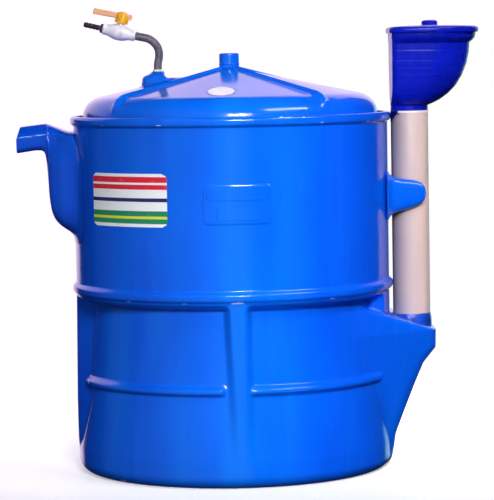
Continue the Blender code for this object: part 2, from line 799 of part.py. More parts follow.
def rib_stations():
    """Places along a rib, each as its foot (r, z), its outward direction (r, z) and its share of the height."""
    slope = math.atan(ROOF_FALL)
    stations = [(r, roof_height(r), math.sin(slope), math.cos(slope), 1.0) for r in ROOF_RIB_ON_CONE]
    span = DRUM_R - SHOULDER_IN
    rise = roof_height(SHOULDER_IN) - SHOULDER_LOW
    for degrees, share in ROOF_RIB_ON_SHOULDER:
        a = math.radians(degrees)
        out = Vector((math.sin(a) / span, math.cos(a) / rise)).normalized()
        stations.append((SHOULDER_IN + span * math.sin(a), SHOULDER_LOW + rise * math.cos(a), *out, share))
    return stations


def roof_rib(name, degrees):
    """A raised rib that runs down the cone and dies away over the shoulder."""
    half = ROOF_RIB_WIDE / 2.0
    turn = Matrix.Rotation(math.radians(degrees), 3, "Z")
    rings = []
    for r, z, out_r, out_z, share in rib_stations():
        tall = ROOF_RIB_HIGH * share
        section = ((-1.0, 0.0), (-0.8, 0.7), (-0.35, 1.0), (0.35, 1.0), (0.8, 0.7), (1.0, 0.0))
        ring = []
        for across, up in section:
            lift = ROOF_RIB_SEAT + tall * up
            ring.append(turn @ Vector((r + out_r * lift, half * across, z + out_z * lift)))
        rings.append(ring)
    return lofted(f"roof_rib_{name}", rings, "drum_blue", smooth=50.0)


def guide_sleeve():
    top = CAP_TOP - CAP_LID - 0.005
    bore = SLEEVE_R - SLEEVE_WALL
    profile = [(bore, SLEEVE_FOOT), (SLEEVE_R, SLEEVE_FOOT), (SLEEVE_R, top), (bore, top)]
    return turned("guide_sleeve", profile, "drum_blue", count=SMALL_ROUND)


def guide_cap():
    """A cap over the top of the sleeve, with a thin bead round it."""
    inside = SLEEVE_R + GAP
    foot = roof_height(inside) + 0.0012
    profile = [
        (0.0, CAP_TOP - CAP_LID), (inside, CAP_TOP - CAP_LID), (inside, foot), (CAP_R, foot),
        (CAP_R, CAP_BEAD - 0.002), (CAP_R + 0.0015, CAP_BEAD), (CAP_R, CAP_BEAD + 0.002),
        (CAP_R, CAP_TOP - 0.002), (CAP_R - 0.002, CAP_TOP), (0.0, CAP_TOP),
    ]
    return turned("guide_cap", profile, "drum_blue", count=SMALL_ROUND)


def guide_post():
    radius = SLEEVE_R - SLEEVE_WALL - RUNNING
    foot = FLOOR_T + GAP
    profile = [
        (0.0, foot), (POST_FOOT_R, foot), (POST_FOOT_R, foot + POST_FOOT_T), (radius, foot + POST_FOOT_T),
        (radius, POST_TOP), (0.0, POST_TOP),
    ]
    return turned("guide_post", profile, "post_steel", count=SMALL_ROUND)


# Gas outlet


def boss_loop(long, wide, z_of, count=SMALL_ROUND, power=0.6):
    points = []
    for i in range(count):
        a = math.tau * i / count
        c = math.cos(a)
        s = math.sin(a)
        x = BOSS_AT + long * math.copysign(abs(c) ** power, c)
        y = wide * math.copysign(abs(s) ** power, s)
        points.append((x, y, z_of(x, y)))
    return points


def gas_boss():
    """A moulded block on the roof that narrows to a round nipple for the hose."""

    def on_roof(x, y):
        return roof_height(math.hypot(x, y)) + 0.001

    rings = [
        boss_loop(BOSS_LONG, BOSS_WIDE, on_roof),
        boss_loop(BOSS_LONG * 0.97, BOSS_WIDE * 0.97, lambda x, y: BOSS_SIDE_TOP - 0.005),
        boss_loop(BOSS_LONG * 0.86, BOSS_WIDE * 0.86, lambda x, y: BOSS_SIDE_TOP),
        boss_loop(0.021, 0.021, lambda x, y: BOSS_TOP - 0.004, power=0.9),
        boss_loop(0.018, 0.018, lambda x, y: BOSS_TOP, power=1.0),
    ]
    return lofted("gas_boss", rings, "drum_blue")


def hose_ring():
    foot = BOSS_TOP + GAP
    inside = HOSE_R + 2.0 * GAP
    profile = [(inside, foot), (RING_R, foot), (RING_R, foot + RING_T), (inside, foot + RING_T)]
    return turned("hose_ring", profile, "ring_cream", count=SMALL_ROUND, at=(BOSS_AT, 0.0))


def gas_hose():
    curve = bpy.data.curves.new("gas_hose", "CURVE")
    curve.dimensions = "3D"
    curve.bevel_depth = HOSE_R
    curve.bevel_resolution = 3
    curve.use_fill_caps = True
    spline = curve.splines.new("POLY")
    spline.points.add(len(HOSE_ROUTE) - 1)
    for point, (x, z) in zip(spline.points, HOSE_ROUTE):
        point.co = (x, 0.0, z, 1.0)
    curve.materials.append(finish_of("hose_grey"))
    obj = bpy.data.objects.new("gas_hose", curve)
    bpy.context.scene.collection.objects.link(obj)
    return obj


def valve_axes():
    """The directions along the valve's bore to the outlet, and up its stem."""
    bore = Vector((-math.cos(VALVE_RISE), 0.0, math.sin(VALVE_RISE)))
    stem = Vector((math.sin(VALVE_RISE), 0.0, math.cos(VALVE_RISE)))
    return bore, stem


def valve_frame():
    """Where the valve's own axes lie: Z along its bore to the outlet, X up its stem."""
    bore, stem = valve_axes()
    place = Matrix((stem, bore.cross(stem), bore)).transposed().to_4x4()
    place.translation = (VALVE_FROM[0], 0.0, VALVE_FROM[1])
    return place


def stem_frame():
    """Where the lever turns: Z up the stem, X along the valve to its outlet, from the bore's axis."""
    bore, stem = valve_axes()
    place = Matrix((bore, stem.cross(bore), stem)).transposed().to_4x4()
    place.translation = Vector((VALVE_FROM[0], 0.0, VALVE_FROM[1])) + bore * VALVE_LONG / 2.0
    return place


def valve_body():
    """A round body with a socket at each end, and the neck that the lever's hub sits on."""
    end = VALVE_LONG
    half = [(0.0, 0.0), (VALVE_END_R, 0.0), (VALVE_END_R, 0.018), (0.0195, 0.026), (VALVE_R, 0.040)]
    profile = half + [(r, end - z) for r, z in reversed(half)]
    body = turned("valve_body", profile, "valve_white", count=SMALL_ROUND)
    body.matrix_world = valve_frame()
    top = HUB_FOOT - GAP
    stem = [(0.0, 0.0), (STEM_R, 0.0), (STEM_R, top), (0.0, top)]
    neck = turned("valve_neck_guide", stem, "valve_white", count=SMALL_ROUND)
    neck.matrix_world = stem_frame()
    combine(body, neck, "UNION")
    return body


def lever_hub():
    profile = [
        (0.0, HUB_FOOT), (HUB_R, HUB_FOOT), (HUB_R, HUB_TOP - 0.012), (HUB_R - 0.004, HUB_TOP - 0.003),
        (HUB_R - 0.009, HUB_TOP), (0.0, HUB_TOP),
    ]
    hub = turned("lever_hub", profile, "hub_amber", count=SMALL_ROUND)
    hub.matrix_world = stem_frame()
    half = LEVER_WIDE / 2.0 + GAP
    foot = LEVER_FOOT - GAP
    plan = ((-0.05, -half), (0.05, -half), (0.05, half), (-0.05, half))
    rings = [[(x, y, z) for x, y in plan] for z in (foot, HUB_TOP + 0.01)]
    slot = lofted("lever_slot_cutter", rings, "hub_amber")
    slot.matrix_world = stem_frame()
    combine(hub, slot, "DIFFERENCE")
    return hub


def valve_lever():
    """A flat bar through the hub's slot, with chamfered ends."""
    half = LEVER_WIDE / 2.0
    near = -LEVER_RIGHT
    far = LEVER_LEFT
    rings = []
    for x, cut in ((near, 0.002), (near + 0.003, 0.0), (far - 0.003, 0.0), (far, 0.002)):
        low = LEVER_FOOT + cut
        high = LEVER_FOOT + LEVER_HIGH - cut
        wide = half - cut
        rings.append([(x, -wide, low), (x, wide, low), (x, wide, high), (x, -wide, high)])
    lever = lofted("valve_lever", rings, "lever_orange")
    lever.matrix_world = stem_frame()
    return lever


def hose_tail():
    """The barbed tail that a hose is pushed on, with a short blind bore."""
    foot = VALVE_LONG + GAP
    tip = VALVE_LONG + TAIL_LONG
    waist = TAIL_R - 0.001
    bore = TAIL_R - TAIL_WALL
    barb = (tip - foot - 0.014) / TAIL_BARBS
    profile = [(0.0, foot), (TAIL_FLANGE_R, foot), (TAIL_FLANGE_R, foot + 0.006), (waist, foot + 0.009)]
    for i in range(TAIL_BARBS):
        z = foot + 0.012 + barb * i
        profile += [(waist, z), (TAIL_R + 0.0008, z + 0.001), (waist, z + barb - 0.002)]
    profile += [(waist - 0.0005, tip), (bore, tip), (bore, tip - 0.010), (0.0, tip - 0.010)]
    tail = turned("hose_tail", profile, "tail_black", count=20)
    tail.matrix_world = valve_frame()
    return tail


def main():
    clear_scene()
    tank_floor()
    lower_wall()
    waist_band()
    upper_wall()
    top_rim()
    outlet_channel()
    outlet_spout()
    inlet_pipe()
    pocket_hole()
    pocket_collar()
    pipe_holder()
    hopper_neck()
    hopper_bowl()
    hopper_rim()
    hopper_lid()
    lid_knob()
    guide_post()
    drum_skirt()
    drum_roof()
    for name, degrees in ROOF_RIB_ANGLES.items():
        roof_rib(name, degrees)
    guide_sleeve()
    guide_cap()
    gas_boss()
    hose_ring()
    gas_hose()
    valve_body()
    lever_hub()
    valve_lever()
    hose_tail()


main()
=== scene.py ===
import math

import bpy
import numpy as np
from mathutils import Matrix, Vector


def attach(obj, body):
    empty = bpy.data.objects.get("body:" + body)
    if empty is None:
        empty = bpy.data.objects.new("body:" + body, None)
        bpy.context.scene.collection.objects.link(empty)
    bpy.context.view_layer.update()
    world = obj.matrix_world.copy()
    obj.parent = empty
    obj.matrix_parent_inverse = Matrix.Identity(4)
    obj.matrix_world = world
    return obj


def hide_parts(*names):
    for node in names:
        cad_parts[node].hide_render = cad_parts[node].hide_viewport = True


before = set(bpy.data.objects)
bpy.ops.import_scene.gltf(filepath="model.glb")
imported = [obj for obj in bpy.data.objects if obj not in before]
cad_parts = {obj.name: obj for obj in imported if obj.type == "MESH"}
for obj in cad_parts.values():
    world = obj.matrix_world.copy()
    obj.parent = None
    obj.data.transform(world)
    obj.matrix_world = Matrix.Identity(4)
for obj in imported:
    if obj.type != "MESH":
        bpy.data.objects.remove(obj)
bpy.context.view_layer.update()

# Sizes that are the same as in the CAD source, in metres
TANK_R = 0.4625
WALL = 0.006
BASE_ROUND = 0.0375
BAND_MIDDLE = 0.540
BAND_HALF = 0.017
BAND_OUT = 0.0098
RIM_LOW = 1.018
RIM_HIGH = 1.044
RIM_OUT = 0.0095
PANEL_FOOT = 0.075
PANEL_SLOPE = 0.10
LEDGE_LOW = 0.4975
LEDGE_HIGH = 0.521
FLANK = 3.6
FRONT_AT = 88.5
FRONT_HALF = 2.6
FRONT_LEAN = ((0.10, 2.9), (0.275, 1.9), (0.49, 0.7))
POCKET_HALF_LOW = 9.5
POCKET_HALF_HIGH = 18.5
WEDGE_SIDE = 0.4637
WEDGE_LEAN = 33.0
WEDGE_FACE = ((0.06, 0.4080), (0.10, 0.4247), (0.14, 0.4304), (0.22, 0.4343), (0.28, 0.4257), (0.45, 0.4053), (0.53, 0.3970))
WEDGE_CREASE = ((0.06, 3.0), (0.10, 10.4), (0.14, 13.7), (0.22, 18.8), (0.28, 17.4), (0.45, 15.5), (0.53, 15.0))
RIB_AT = 0.275
RIB_HALF = 0.015
RIB_OUT = 0.0133
POCKET_FACE = (
    (0.03, 0.4560), (0.06, 0.4660), (0.093, 0.472), (0.163, 0.499), (0.233, 0.527), (0.304, 0.557),
    (0.348, 0.595), (0.400, 0.595),
)
POCKET_TOP_OUT = 0.402
POCKET_TOP_IN = 0.450
POCKET_FACE_HALF = 0.09
POCKET_SIDE_TILT = math.radians(56.0)
PIPE_AT = 0.528
PIPE_R = 0.055
PIPE_WALL = 0.0032
PIPE_FOOT = 0.370
PIPE_TOP = 1.044
DRUM_R = 0.434
DRUM_WALL = 0.005
DRUM_FOOT = 0.5076
SHOULDER_LOW = 1.035
SHOULDER_IN = 0.376
SHOULDER_POWER = 2.3
ROOF_APEX = 1.181
ROOF_FALL = 0.2125
ROOF_RIB_ANGLES = (-140.0, -50.0, 40.0, 130.0)
ROOF_RIB_HIGH = 0.0085
ROOF_RIB_GROWTH = 0.004
ROOF_RIB_WIDE = 0.009
ROOF_RIB_SPREAD = 0.064


# Small mathematics


def smoothstep(x):
    x = np.clip(x, 0.0, 1.0)
    return x * x * (3.0 - 2.0 * x)


def blend_max(a, b, width):
    h = np.maximum(width - np.abs(a - b), 0.0) / width
    return np.maximum(a, b) + h * h * width * 0.25


def eased(keys, count, spaced_by=9):
    """Rows that pass smoothly through the rows of keys without overshoot, evenly spaced by their first columns."""
    keys = np.array(keys, float)
    span = np.linalg.norm(np.diff(keys[:, :spaced_by], axis=0), axis=1)
    at = np.concatenate([[0.0], np.cumsum(span)])
    slope = np.diff(keys, axis=0) / span[:, None]
    tangent = np.zeros_like(keys)
    same = slope[:-1] * slope[1:] > 0.0
    both = slope[:-1] + slope[1:]
    safe = np.where(both == 0.0, 1.0, both)
    tangent[1:-1] = np.where(same, 2.0 * slope[:-1] * slope[1:] / safe, 0.0)
    tangent[0] = slope[0]
    tangent[-1] = slope[-1]
    where = np.linspace(0.0, at[-1], count)
    index = np.clip(np.searchsorted(at, where, side="right") - 1, 0, len(span) - 1)
    t = ((where - at[index]) / span[index])[:, None]
    run = span[index][:, None]
    start = keys[index] * (2 * t**3 - 3 * t**2 + 1) + tangent[index] * run * (t**3 - 2 * t**2 + t)
    return start + keys[index + 1] * (-2 * t**3 + 3 * t**2) + tangent[index + 1] * run * (t**3 - t**2)


def uneven(parts):
    """Values in runs, each run as (start, end, count)."""
    made = [np.linspace(low, high, count, endpoint=False) for low, high, count in parts]
    return np.concatenate([*made, [parts[-1][1]]])


# Meshes


def object_of(name, points, faces, smooth=40.0):
    """A mesh object from an array of points and a list of arrays of faces, all of one corner count each."""
    mesh = bpy.data.meshes.new(name)
    corners = [np.asarray(f, np.int32) for f in faces if len(f)]
    sizes = np.concatenate([np.full(len(f), f.shape[1], np.int32) for f in corners])
    loops = np.concatenate([f.reshape(-1) for f in corners])
    mesh.vertices.add(len(points))
    mesh.vertices.foreach_set("co", np.asarray(points, np.float32).reshape(-1))
    mesh.loops.add(len(loops))
    mesh.loops.foreach_set("vertex_index", loops)
    mesh.polygons.add(len(sizes))
    mesh.polygons.foreach_set("loop_start", np.concatenate([[0], np.cumsum(sizes)[:-1]]).astype(np.int32))
    mesh.update(calc_edges=True)
    mesh.validate()
    mesh.shade_smooth()
    mesh.set_sharp_from_angle(angle=math.radians(smooth))
    obj = bpy.data.objects.new(name, mesh)
    bpy.context.scene.collection.objects.link(obj)
    return obj


def skin(name, rows, closed=False, caps=True, smooth=40.0):
    """A surface through rings of points, array (rings, points, 3). Each ring goes round counter-clockwise seen
    from where the rings come from being stacked outward; the ends are capped, or the last ring joins the first."""
    rows = np.asarray(rows, float)
    count, around = rows.shape[:2]
    index = np.arange(count * around).reshape(count, around)
    low = index if closed else index[:-1]
    high = np.roll(index, -1, axis=0) if closed else index[1:]
    quads = np.stack([low, np.roll(low, -1, axis=1), np.roll(high, -1, axis=1), high], axis=-1).reshape(-1, 4)
    faces = [quads]
    if caps and not closed:
        faces += [index[:1, ::-1], index[-1:]]
    return object_of(name, rows.reshape(-1, 3), faces, smooth)


def sheet_block(name, outer, thickness, normals, smooth=40.0):
    """A thin block under an open grid of points, array (rows, columns, 3)."""
    inner = outer - normals * thickness
    rows, columns = outer.shape[:2]
    index = np.arange(rows * columns).reshape(rows, columns)
    under = index + rows * columns
    top = np.stack([index[:-1, :-1], index[:-1, 1:], index[1:, 1:], index[1:, :-1]], axis=-1).reshape(-1, 4)
    bottom = np.stack([under[:-1, :-1], under[1:, :-1], under[1:, 1:], under[:-1, 1:]], axis=-1).reshape(-1, 4)
    edge = np.concatenate([index[0, :-1], index[:-1, -1], index[-1, :0:-1], index[:0:-1, 0]])
    after = np.roll(edge, -1)
    sides = np.stack([edge, edge + rows * columns, after + rows * columns, after], axis=-1)
    points = np.concatenate([outer.reshape(-1, 3), inner.reshape(-1, 3)])
    return object_of(name, points, [top, bottom, sides], smooth)


def turned_rows(profile, count, at=(0.0, 0.0)):
    """Rings of points for a profile of (r, z) pairs turned about a vertical axis."""
    profile = np.asarray(profile, float)
    a = np.linspace(0.0, math.tau, count, endpoint=False)
    rows = np.empty((len(profile), count, 3))
    rows[..., 0] = at[0] + profile[:, :1] * np.cos(a)
    rows[..., 1] = at[1] + profile[:, :1] * np.sin(a)
    rows[..., 2] = profile[:, 1:]
    return rows


def rounded_profile(corners, steps=5):
    """A profile with its corners rounded, each corner as (r, z, radius)."""
    made = []
    for i, (r, z, radius) in enumerate(corners):
        here = np.array((r, z))
        if radius <= 0.0 or i in (0, len(corners) - 1):
            made.append(here)
            continue
        before = np.array(corners[i - 1][:2]) - here
        after = np.array(corners[i + 1][:2]) - here
        start = here + before * min(0.5, radius / np.linalg.norm(before))
        end = here + after * min(0.5, radius / np.linalg.norm(after))
        for t in np.linspace(0.0, 1.0, steps + 1):
            made.append(start * (1 - t) ** 2 + here * 2 * t * (1 - t) + end * t * t)
    return np.array(made)


def placed(obj, matrix):
    obj.data.transform(matrix)
    return obj


def ready(obj, body, material, nodes=()):
    """Gives a piece its material, its body and the CAD nodes that it stands for."""
    obj.data.materials.clear()
    obj.data.materials.append(material)
    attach(obj, body)
    if nodes:
        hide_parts(*nodes)
    return obj


# Materials


def sockets(tree, kind, inputs=(), **settings):
    """A shader node with its settings and input values or links."""
    made = tree.nodes.new(kind)
    for key, value in settings.items():
        setattr(made, key, value)
    for key, value in dict(inputs).items():
        if isinstance(value, bpy.types.NodeSocket):
            tree.links.new(value, made.inputs[key])
        else:
            made.inputs[key].default_value = value
    return made


def plain_material(name, colour, roughness, metallic=0.0):
    material = bpy.data.materials.new(name)
    material.use_nodes = True
    tree = material.node_tree
    shader = tree.nodes["Principled BSDF"]
    shader.inputs["Base Color"].default_value = (*colour, 1.0)
    shader.inputs["Roughness"].default_value = roughness
    shader.inputs["Metallic"].default_value = metallic
    return material, tree, shader


def noise_of(tree, place, scale, detail=3.0, stretch=None, seed=0.0):
    """A noise value over the object's own coordinates, optionally stretched along its axes."""
    if stretch:
        mapping = sockets(tree, "ShaderNodeMapping", {"Vector": place, "Scale": stretch, "Location": (seed, seed, seed)})
        place = mapping.outputs["Vector"]
    made = sockets(tree, "ShaderNodeTexNoise", {"Vector": place, "Scale": scale, "Detail": detail})
    return made.outputs["Fac"]


def ramp_of(tree, value, stops):
    """A ramp with stops as (position, colour)."""
    made = sockets(tree, "ShaderNodeValToRGB", {"Fac": value})
    ramp = made.color_ramp
    while len(ramp.elements) < len(stops):
        ramp.elements.new(0.5)
    for element, (position, colour) in zip(ramp.elements, stops):
        element.position = position
        element.color = (*colour, 1.0)
    return made.outputs["Color"]


def grey(value):
    return (value, value, value)


def mixed(tree, share, first, second, blend="MIX"):
    made = sockets(tree, "ShaderNodeMix", data_type="RGBA", blend_type=blend)
    for index, value in ((0, share), (6, first), (7, second)):
        if isinstance(value, bpy.types.NodeSocket):
            tree.links.new(value, made.inputs[index])
        else:
            made.inputs[index].default_value = value if index == 0 else (*value, 1.0)
    return made.outputs[2]


def chipped(tree, place, base, heights):
    """Small pale chips in the gel coat, along level edges at the given heights."""
    level = sockets(tree, "ShaderNodeSeparateXYZ", {"Vector": place}).outputs["Z"]
    chip = ramp_of(tree, noise_of(tree, place, 30.0, 3.0, (0.6, 0.6, 3.0), 2.0), ((0.66, grey(0)), (0.68, grey(0.75))))
    for height in heights:
        gap = sockets(tree, "ShaderNodeMath", {0: level, 1: height, 2: 0.0025}, operation="COMPARE").outputs["Value"]
        base = mixed(tree, mixed(tree, 1.0, chip, gap, "MULTIPLY"), base, (0.75, 0.80, 0.95))
    return base


# Stops of the painted shade across the tank, as (place, green factor, blue factor).
SIDE_SHADE_STOPS = (
    (0.0, 0.55, 0.80), (0.03, 0.58, 0.80), (0.11, 0.69, 0.83), (0.27, 0.70, 0.80), (0.335, 0.81, 0.83),
    (0.385, 0.76, 0.85), (0.44, 0.82, 0.89), (0.475, 1.0, 0.96), (0.525, 1.0, 0.96), (0.60, 0.86, 0.96),
    (0.72, 0.80, 0.98), (0.84, 0.72, 0.98), (0.94, 0.72, 0.96), (1.0, 0.80, 0.96),
)


def painted_side_shade(tree, place, base):
    """Painted shade in upright strips by place across the tank: darker towards the left and right sides, full colour
    near the middle.
    """
    across = sockets(tree, "ShaderNodeSeparateXYZ", {"Vector": place}).outputs["X"]
    drift = sockets(tree, "ShaderNodeMath", {
        0: noise_of(tree, place, 4.0, 2.0, (1.0, 1.0, 0.5), 9.0), 1: 0.06, 2: across,
    }, operation="MULTIPLY_ADD").outputs["Value"]
    share = sockets(tree, "ShaderNodeMapRange", {
        "Value": drift, "From Min": 0.03 - TANK_R, "From Max": 0.03 + TANK_R,
    }).outputs["Result"]
    painted_shade_tint = ramp_of(tree, share, [(at, (1.0, green, blue)) for at, green, blue in SIDE_SHADE_STOPS])
    return mixed(tree, 1.0, base, painted_shade_tint, "MULTIPLY")


def gel_coat(name, colour, darker, roughness, streaks=1.0, ripple=0.0011, edges=()):
    """Glossy gel coat on glass fibre: slow drifts of colour, faint vertical streaks, specks, and a wavy gloss."""
    material, tree, shader = plain_material(name, colour, roughness)
    place = sockets(tree, "ShaderNodeTexCoord").outputs["Object"]
    drift = ramp_of(tree, noise_of(tree, place, 3.1, 4.0, (1.0, 1.0, 0.55), 3.0), ((0.32, grey(0)), (0.68, grey(1))))
    base = mixed(tree, drift, colour, darker)
    streak = ramp_of(
        tree, noise_of(tree, place, 1.0, 5.0, (24.0, 24.0, 1.6), 7.0), ((0.46, grey(0)), (0.74, grey(0.20 * streaks)))
    )
    base = mixed(tree, streak, base, tuple(min(1.0, c * 1.25 + 0.012) for c in colour))
    broad = ramp_of(
        tree, noise_of(tree, place, 1.0, 3.0, (9.0, 9.0, 0.9), 17.0), ((0.44, grey(0)), (0.66, grey(0.45 * streaks)))
    )
    base = mixed(tree, broad, base, (colour[0] + 0.002, colour[1] * 1.25, colour[2] * 0.92))
    # Painted shade: darker towards the left and right sides of the tank, in upright strips.
    base = painted_side_shade(tree, place, base)
    speck = ramp_of(tree, noise_of(tree, place, 210.0, 2.0), ((0.735, grey(0)), (0.775, grey(0.55))))
    base = mixed(tree, speck, base, tuple(c * 0.45 for c in darker))
    base = chipped(tree, place, base, edges)
    tree.links.new(base, shader.inputs["Base Color"])
    dull = ramp_of(
        tree, noise_of(tree, place, 5.0, 6.0, (1.0, 1.0, 1.8), 11.0),
        ((0.30, grey(roughness * 0.72)), (0.74, grey(roughness * 1.5))),
    )
    tree.links.new(dull, shader.inputs["Roughness"])
    wave = sockets(
        tree, "ShaderNodeBump",
        {"Height": noise_of(tree, place, 7.0, 1.5, (1.0, 1.0, 1.3), 5.0), "Distance": ripple, "Strength": 1.0},
    )
    pores = sockets(
        tree, "ShaderNodeBump",
        {"Height": noise_of(tree, place, 90.0, 3.0), "Distance": 0.00022, "Strength": 0.6, "Normal": wave.outputs["Normal"]},
    )
    tree.links.new(pores.outputs["Normal"], shader.inputs["Normal"])
    shader.inputs["IOR"].default_value = 1.36
    shader.inputs["Coat Weight"].default_value = 0.10
    shader.inputs["Coat Roughness"].default_value = 0.06
    return material


def moulded(name, colour, other, roughness, grain=140.0, depth=0.00012, scale=14.0):
    """Moulded or extruded plastic: two close tones, a fine grain and uneven gloss."""
    material, tree, shader = plain_material(name, colour, roughness)
    place = sockets(tree, "ShaderNodeTexCoord").outputs["Object"]
    tone = ramp_of(tree, noise_of(tree, place, scale, 4.0), ((0.35, grey(0)), (0.7, grey(1))))
    tree.links.new(mixed(tree, tone, colour, other), shader.inputs["Base Color"])
    dull = ramp_of(
        tree, noise_of(tree, place, scale * 3.0, 5.0), ((0.3, grey(roughness * 0.8)), (0.75, grey(roughness * 1.3)))
    )
    tree.links.new(dull, shader.inputs["Roughness"])
    bump = sockets(tree, "ShaderNodeBump", {"Height": noise_of(tree, place, grain, 3.0), "Distance": depth})
    tree.links.new(bump.outputs["Normal"], shader.inputs["Normal"])
    return material


def outlet_skin():
    """The tank's gel coat with a pale line painted along the edge of the spout's upper facets as a painted highlight.
    """
    material = tank_blue.copy()
    material.name = "outlet_gel_coat"
    tree = material.node_tree
    shader = tree.nodes["Principled BSDF"]
    place = sockets(tree, "ShaderNodeTexCoord").outputs["Object"]
    axes = sockets(tree, "ShaderNodeSeparateXYZ", {"Vector": place})
    edge = sockets(tree, "ShaderNodeMath", {0: axes.outputs["X"], 1: -SPOUT_EDGE[1], 2: axes.outputs["Z"]}, operation="MULTIPLY_ADD")
    line = sockets(tree, "ShaderNodeMath", {0: edge.outputs["Value"], 1: SPOUT_EDGE[0], 2: 0.0016}, operation="COMPARE")
    beyond = sockets(tree, "ShaderNodeMapRange", {"Value": axes.outputs["X"], "From Min": -0.535, "From Max": -0.552})
    # Painted highlight: a pale line along the facets' edge, broken up by noise.
    highlight_breakup = ramp_of(tree, noise_of(tree, place, 34.0, 3.0, (1.0, 1.0, 3.0), 6.0), ((0.36, grey(0.15)), (0.60, grey(0.85))))
    share = mixed(tree, 1.0, highlight_breakup, line.outputs["Value"], "MULTIPLY")
    share = mixed(tree, 1.0, share, beyond.outputs["Result"], "MULTIPLY")
    old = shader.inputs["Base Color"].links[0].from_socket
    tree.links.new(mixed(tree, share, old, (0.38, 0.72, 0.95)), shader.inputs["Base Color"])
    return material


SPOUT_EDGE = (1.0526, 0.110)


def hopper_skin():
    """Vacuum-formed blue plastic with a satin face and a weak gloss."""
    material = moulded("hopper_plastic", HOPPER_BLUE, HOPPER_DEEP, 0.26, 140.0, 0.00012, 9.0)
    material.node_tree.nodes["Principled BSDF"].inputs["IOR"].default_value = 1.26
    return material


def pipe_skin():
    """Extruded pink pipe with painted shade: a dark painted shadow line and grey with a bluish painted reflection on
    the side towards the tank, lighter on the other side, and a few dark spots.
    """
    material = moulded("pipe_plastic", (0.68, 0.53, 0.52), (0.63, 0.50, 0.49), 0.42, 60.0, 0.0001, 9.0)
    tree = material.node_tree
    shader = tree.nodes["Principled BSDF"]
    place = sockets(tree, "ShaderNodeTexCoord").outputs["Object"]
    across = sockets(tree, "ShaderNodeSeparateXYZ", {"Vector": place}).outputs["X"]
    uneven_edge = sockets(tree, "ShaderNodeMath", {
        0: noise_of(tree, place, 6.0, 3.0, (1.0, 1.0, 0.4), 4.0), 1: 0.012, 2: across,
    }, operation="MULTIPLY_ADD").outputs["Value"]
    share = sockets(tree, "ShaderNodeMapRange", {
        "Value": uneven_edge, "From Min": PIPE_AT - PIPE_R + 0.006, "From Max": PIPE_AT + PIPE_R + 0.006,
    }).outputs["Result"]
    # Painted shade across the pipe: a dark painted shadow line at the edge towards the tank, then grey with a bluish
    # painted reflection, then full pink and a little lighter.
    painted_shade_tint = ramp_of(tree, share, (
        (0.0, (0.10, 0.10, 0.16)), (0.05, (0.48, 0.49, 0.54)), (0.28, (0.72, 0.72, 0.74)), (0.55, (0.88, 0.84, 0.84)),
        (0.80, (1.0, 0.93, 0.90)), (1.0, (0.94, 0.88, 0.86)),
    ))
    spots = ramp_of(tree, noise_of(tree, place, 55.0, 2.0), ((0.73, grey(0)), (0.75, grey(0.6))))
    old = shader.inputs["Base Color"].links[0].from_socket
    toned = mixed(tree, spots, mixed(tree, 1.0, old, painted_shade_tint, "MULTIPLY"), (0.20, 0.20, 0.26))
    tree.links.new(toned, shader.inputs["Base Color"])
    return material


def banded_print():
    """A printed label with three level bands, a pale border and slight scuffs."""
    material, tree, shader = plain_material("label_print", (0.9, 0.9, 0.9), 0.30)
    place = sockets(tree, "ShaderNodeTexCoord").outputs["Object"]
    level = sockets(tree, "ShaderNodeSeparateXYZ", {"Vector": place}).outputs["Z"]
    share = sockets(tree, "ShaderNodeMapRange", {"Value": level, "From Min": LABEL_LOW, "From Max": LABEL_HIGH})
    bands = ramp_of(tree, share.outputs["Result"], (
        (0.0, LABEL_WHITE), (0.06, LABEL_GREEN), (0.15, (0.62, 0.66, 0.05)), (0.20, LABEL_GREEN), (0.30, LABEL_WHITE),
        (0.47, (0.012, 0.014, 0.12)), (0.54, LABEL_WHITE), (0.70, LABEL_RED), (0.79, LABEL_WHITE), (0.83, LABEL_RED),
        (0.94, LABEL_WHITE),
    ))
    bands.node.color_ramp.interpolation = "CONSTANT"
    scuff = ramp_of(tree, noise_of(tree, place, 34.0, 6.0, (1.0, 1.0, 2.2)), ((0.60, grey(0)), (0.78, grey(0.35))))
    tree.links.new(mixed(tree, scuff, bands, (0.42, 0.44, 0.52)), shader.inputs["Base Color"])
    bump = sockets(tree, "ShaderNodeBump", {"Height": noise_of(tree, place, 60.0, 2.0), "Distance": 0.0001})
    tree.links.new(bump.outputs["Normal"], shader.inputs["Normal"])
    return material


HOPPER_BLUE = (0.003, 0.011, 0.50)
HOPPER_DEEP = (0.002, 0.009, 0.40)
LABEL_LOW = 0.738
LABEL_HIGH = 0.888
LABEL_WHITE = (0.80, 0.80, 0.83)
LABEL_GREEN = (0.010, 0.22, 0.10)
LABEL_RED = (0.66, 0.010, 0.035)
tank_blue = gel_coat(
    "tank_gel_coat", (0.001, 0.150, 0.88), (0.001, 0.108, 0.74), 0.13, edges=(0.008, 0.526, 1.022, 1.041)
)
outlet_blue = outlet_skin()
drum_blue = gel_coat("drum_gel_coat", (0.002, 0.160, 0.88), (0.002, 0.125, 0.78), 0.13, 0.6)
hopper_blue = hopper_skin()
pipe_grey = pipe_skin()
label_print = banded_print()
label_white = moulded("oval_label", (0.86, 0.86, 0.90), (0.78, 0.78, 0.84), 0.32)
label_edge = moulded("oval_label_edge", (0.10, 0.14, 0.40), (0.08, 0.11, 0.34), 0.32)
run_blue = moulded("paint_run", (0.002, 0.006, 0.16), (0.001, 0.004, 0.10), 0.24, 60.0, 0.0004, 30.0)
pipe_white = moulded("pipe_cut_end", (0.86, 0.82, 0.84), (0.80, 0.76, 0.80), 0.35)
sealant_blue = moulded("sealant_resin", (0.004, 0.075, 0.52), (0.001, 0.018, 0.24), 0.36, 70.0, 0.0014, 46.0)
hose_grey = moulded("hose_rubber", (0.13, 0.12, 0.14), (0.09, 0.085, 0.10), 0.42, 220.0, 0.0002, 30.0)
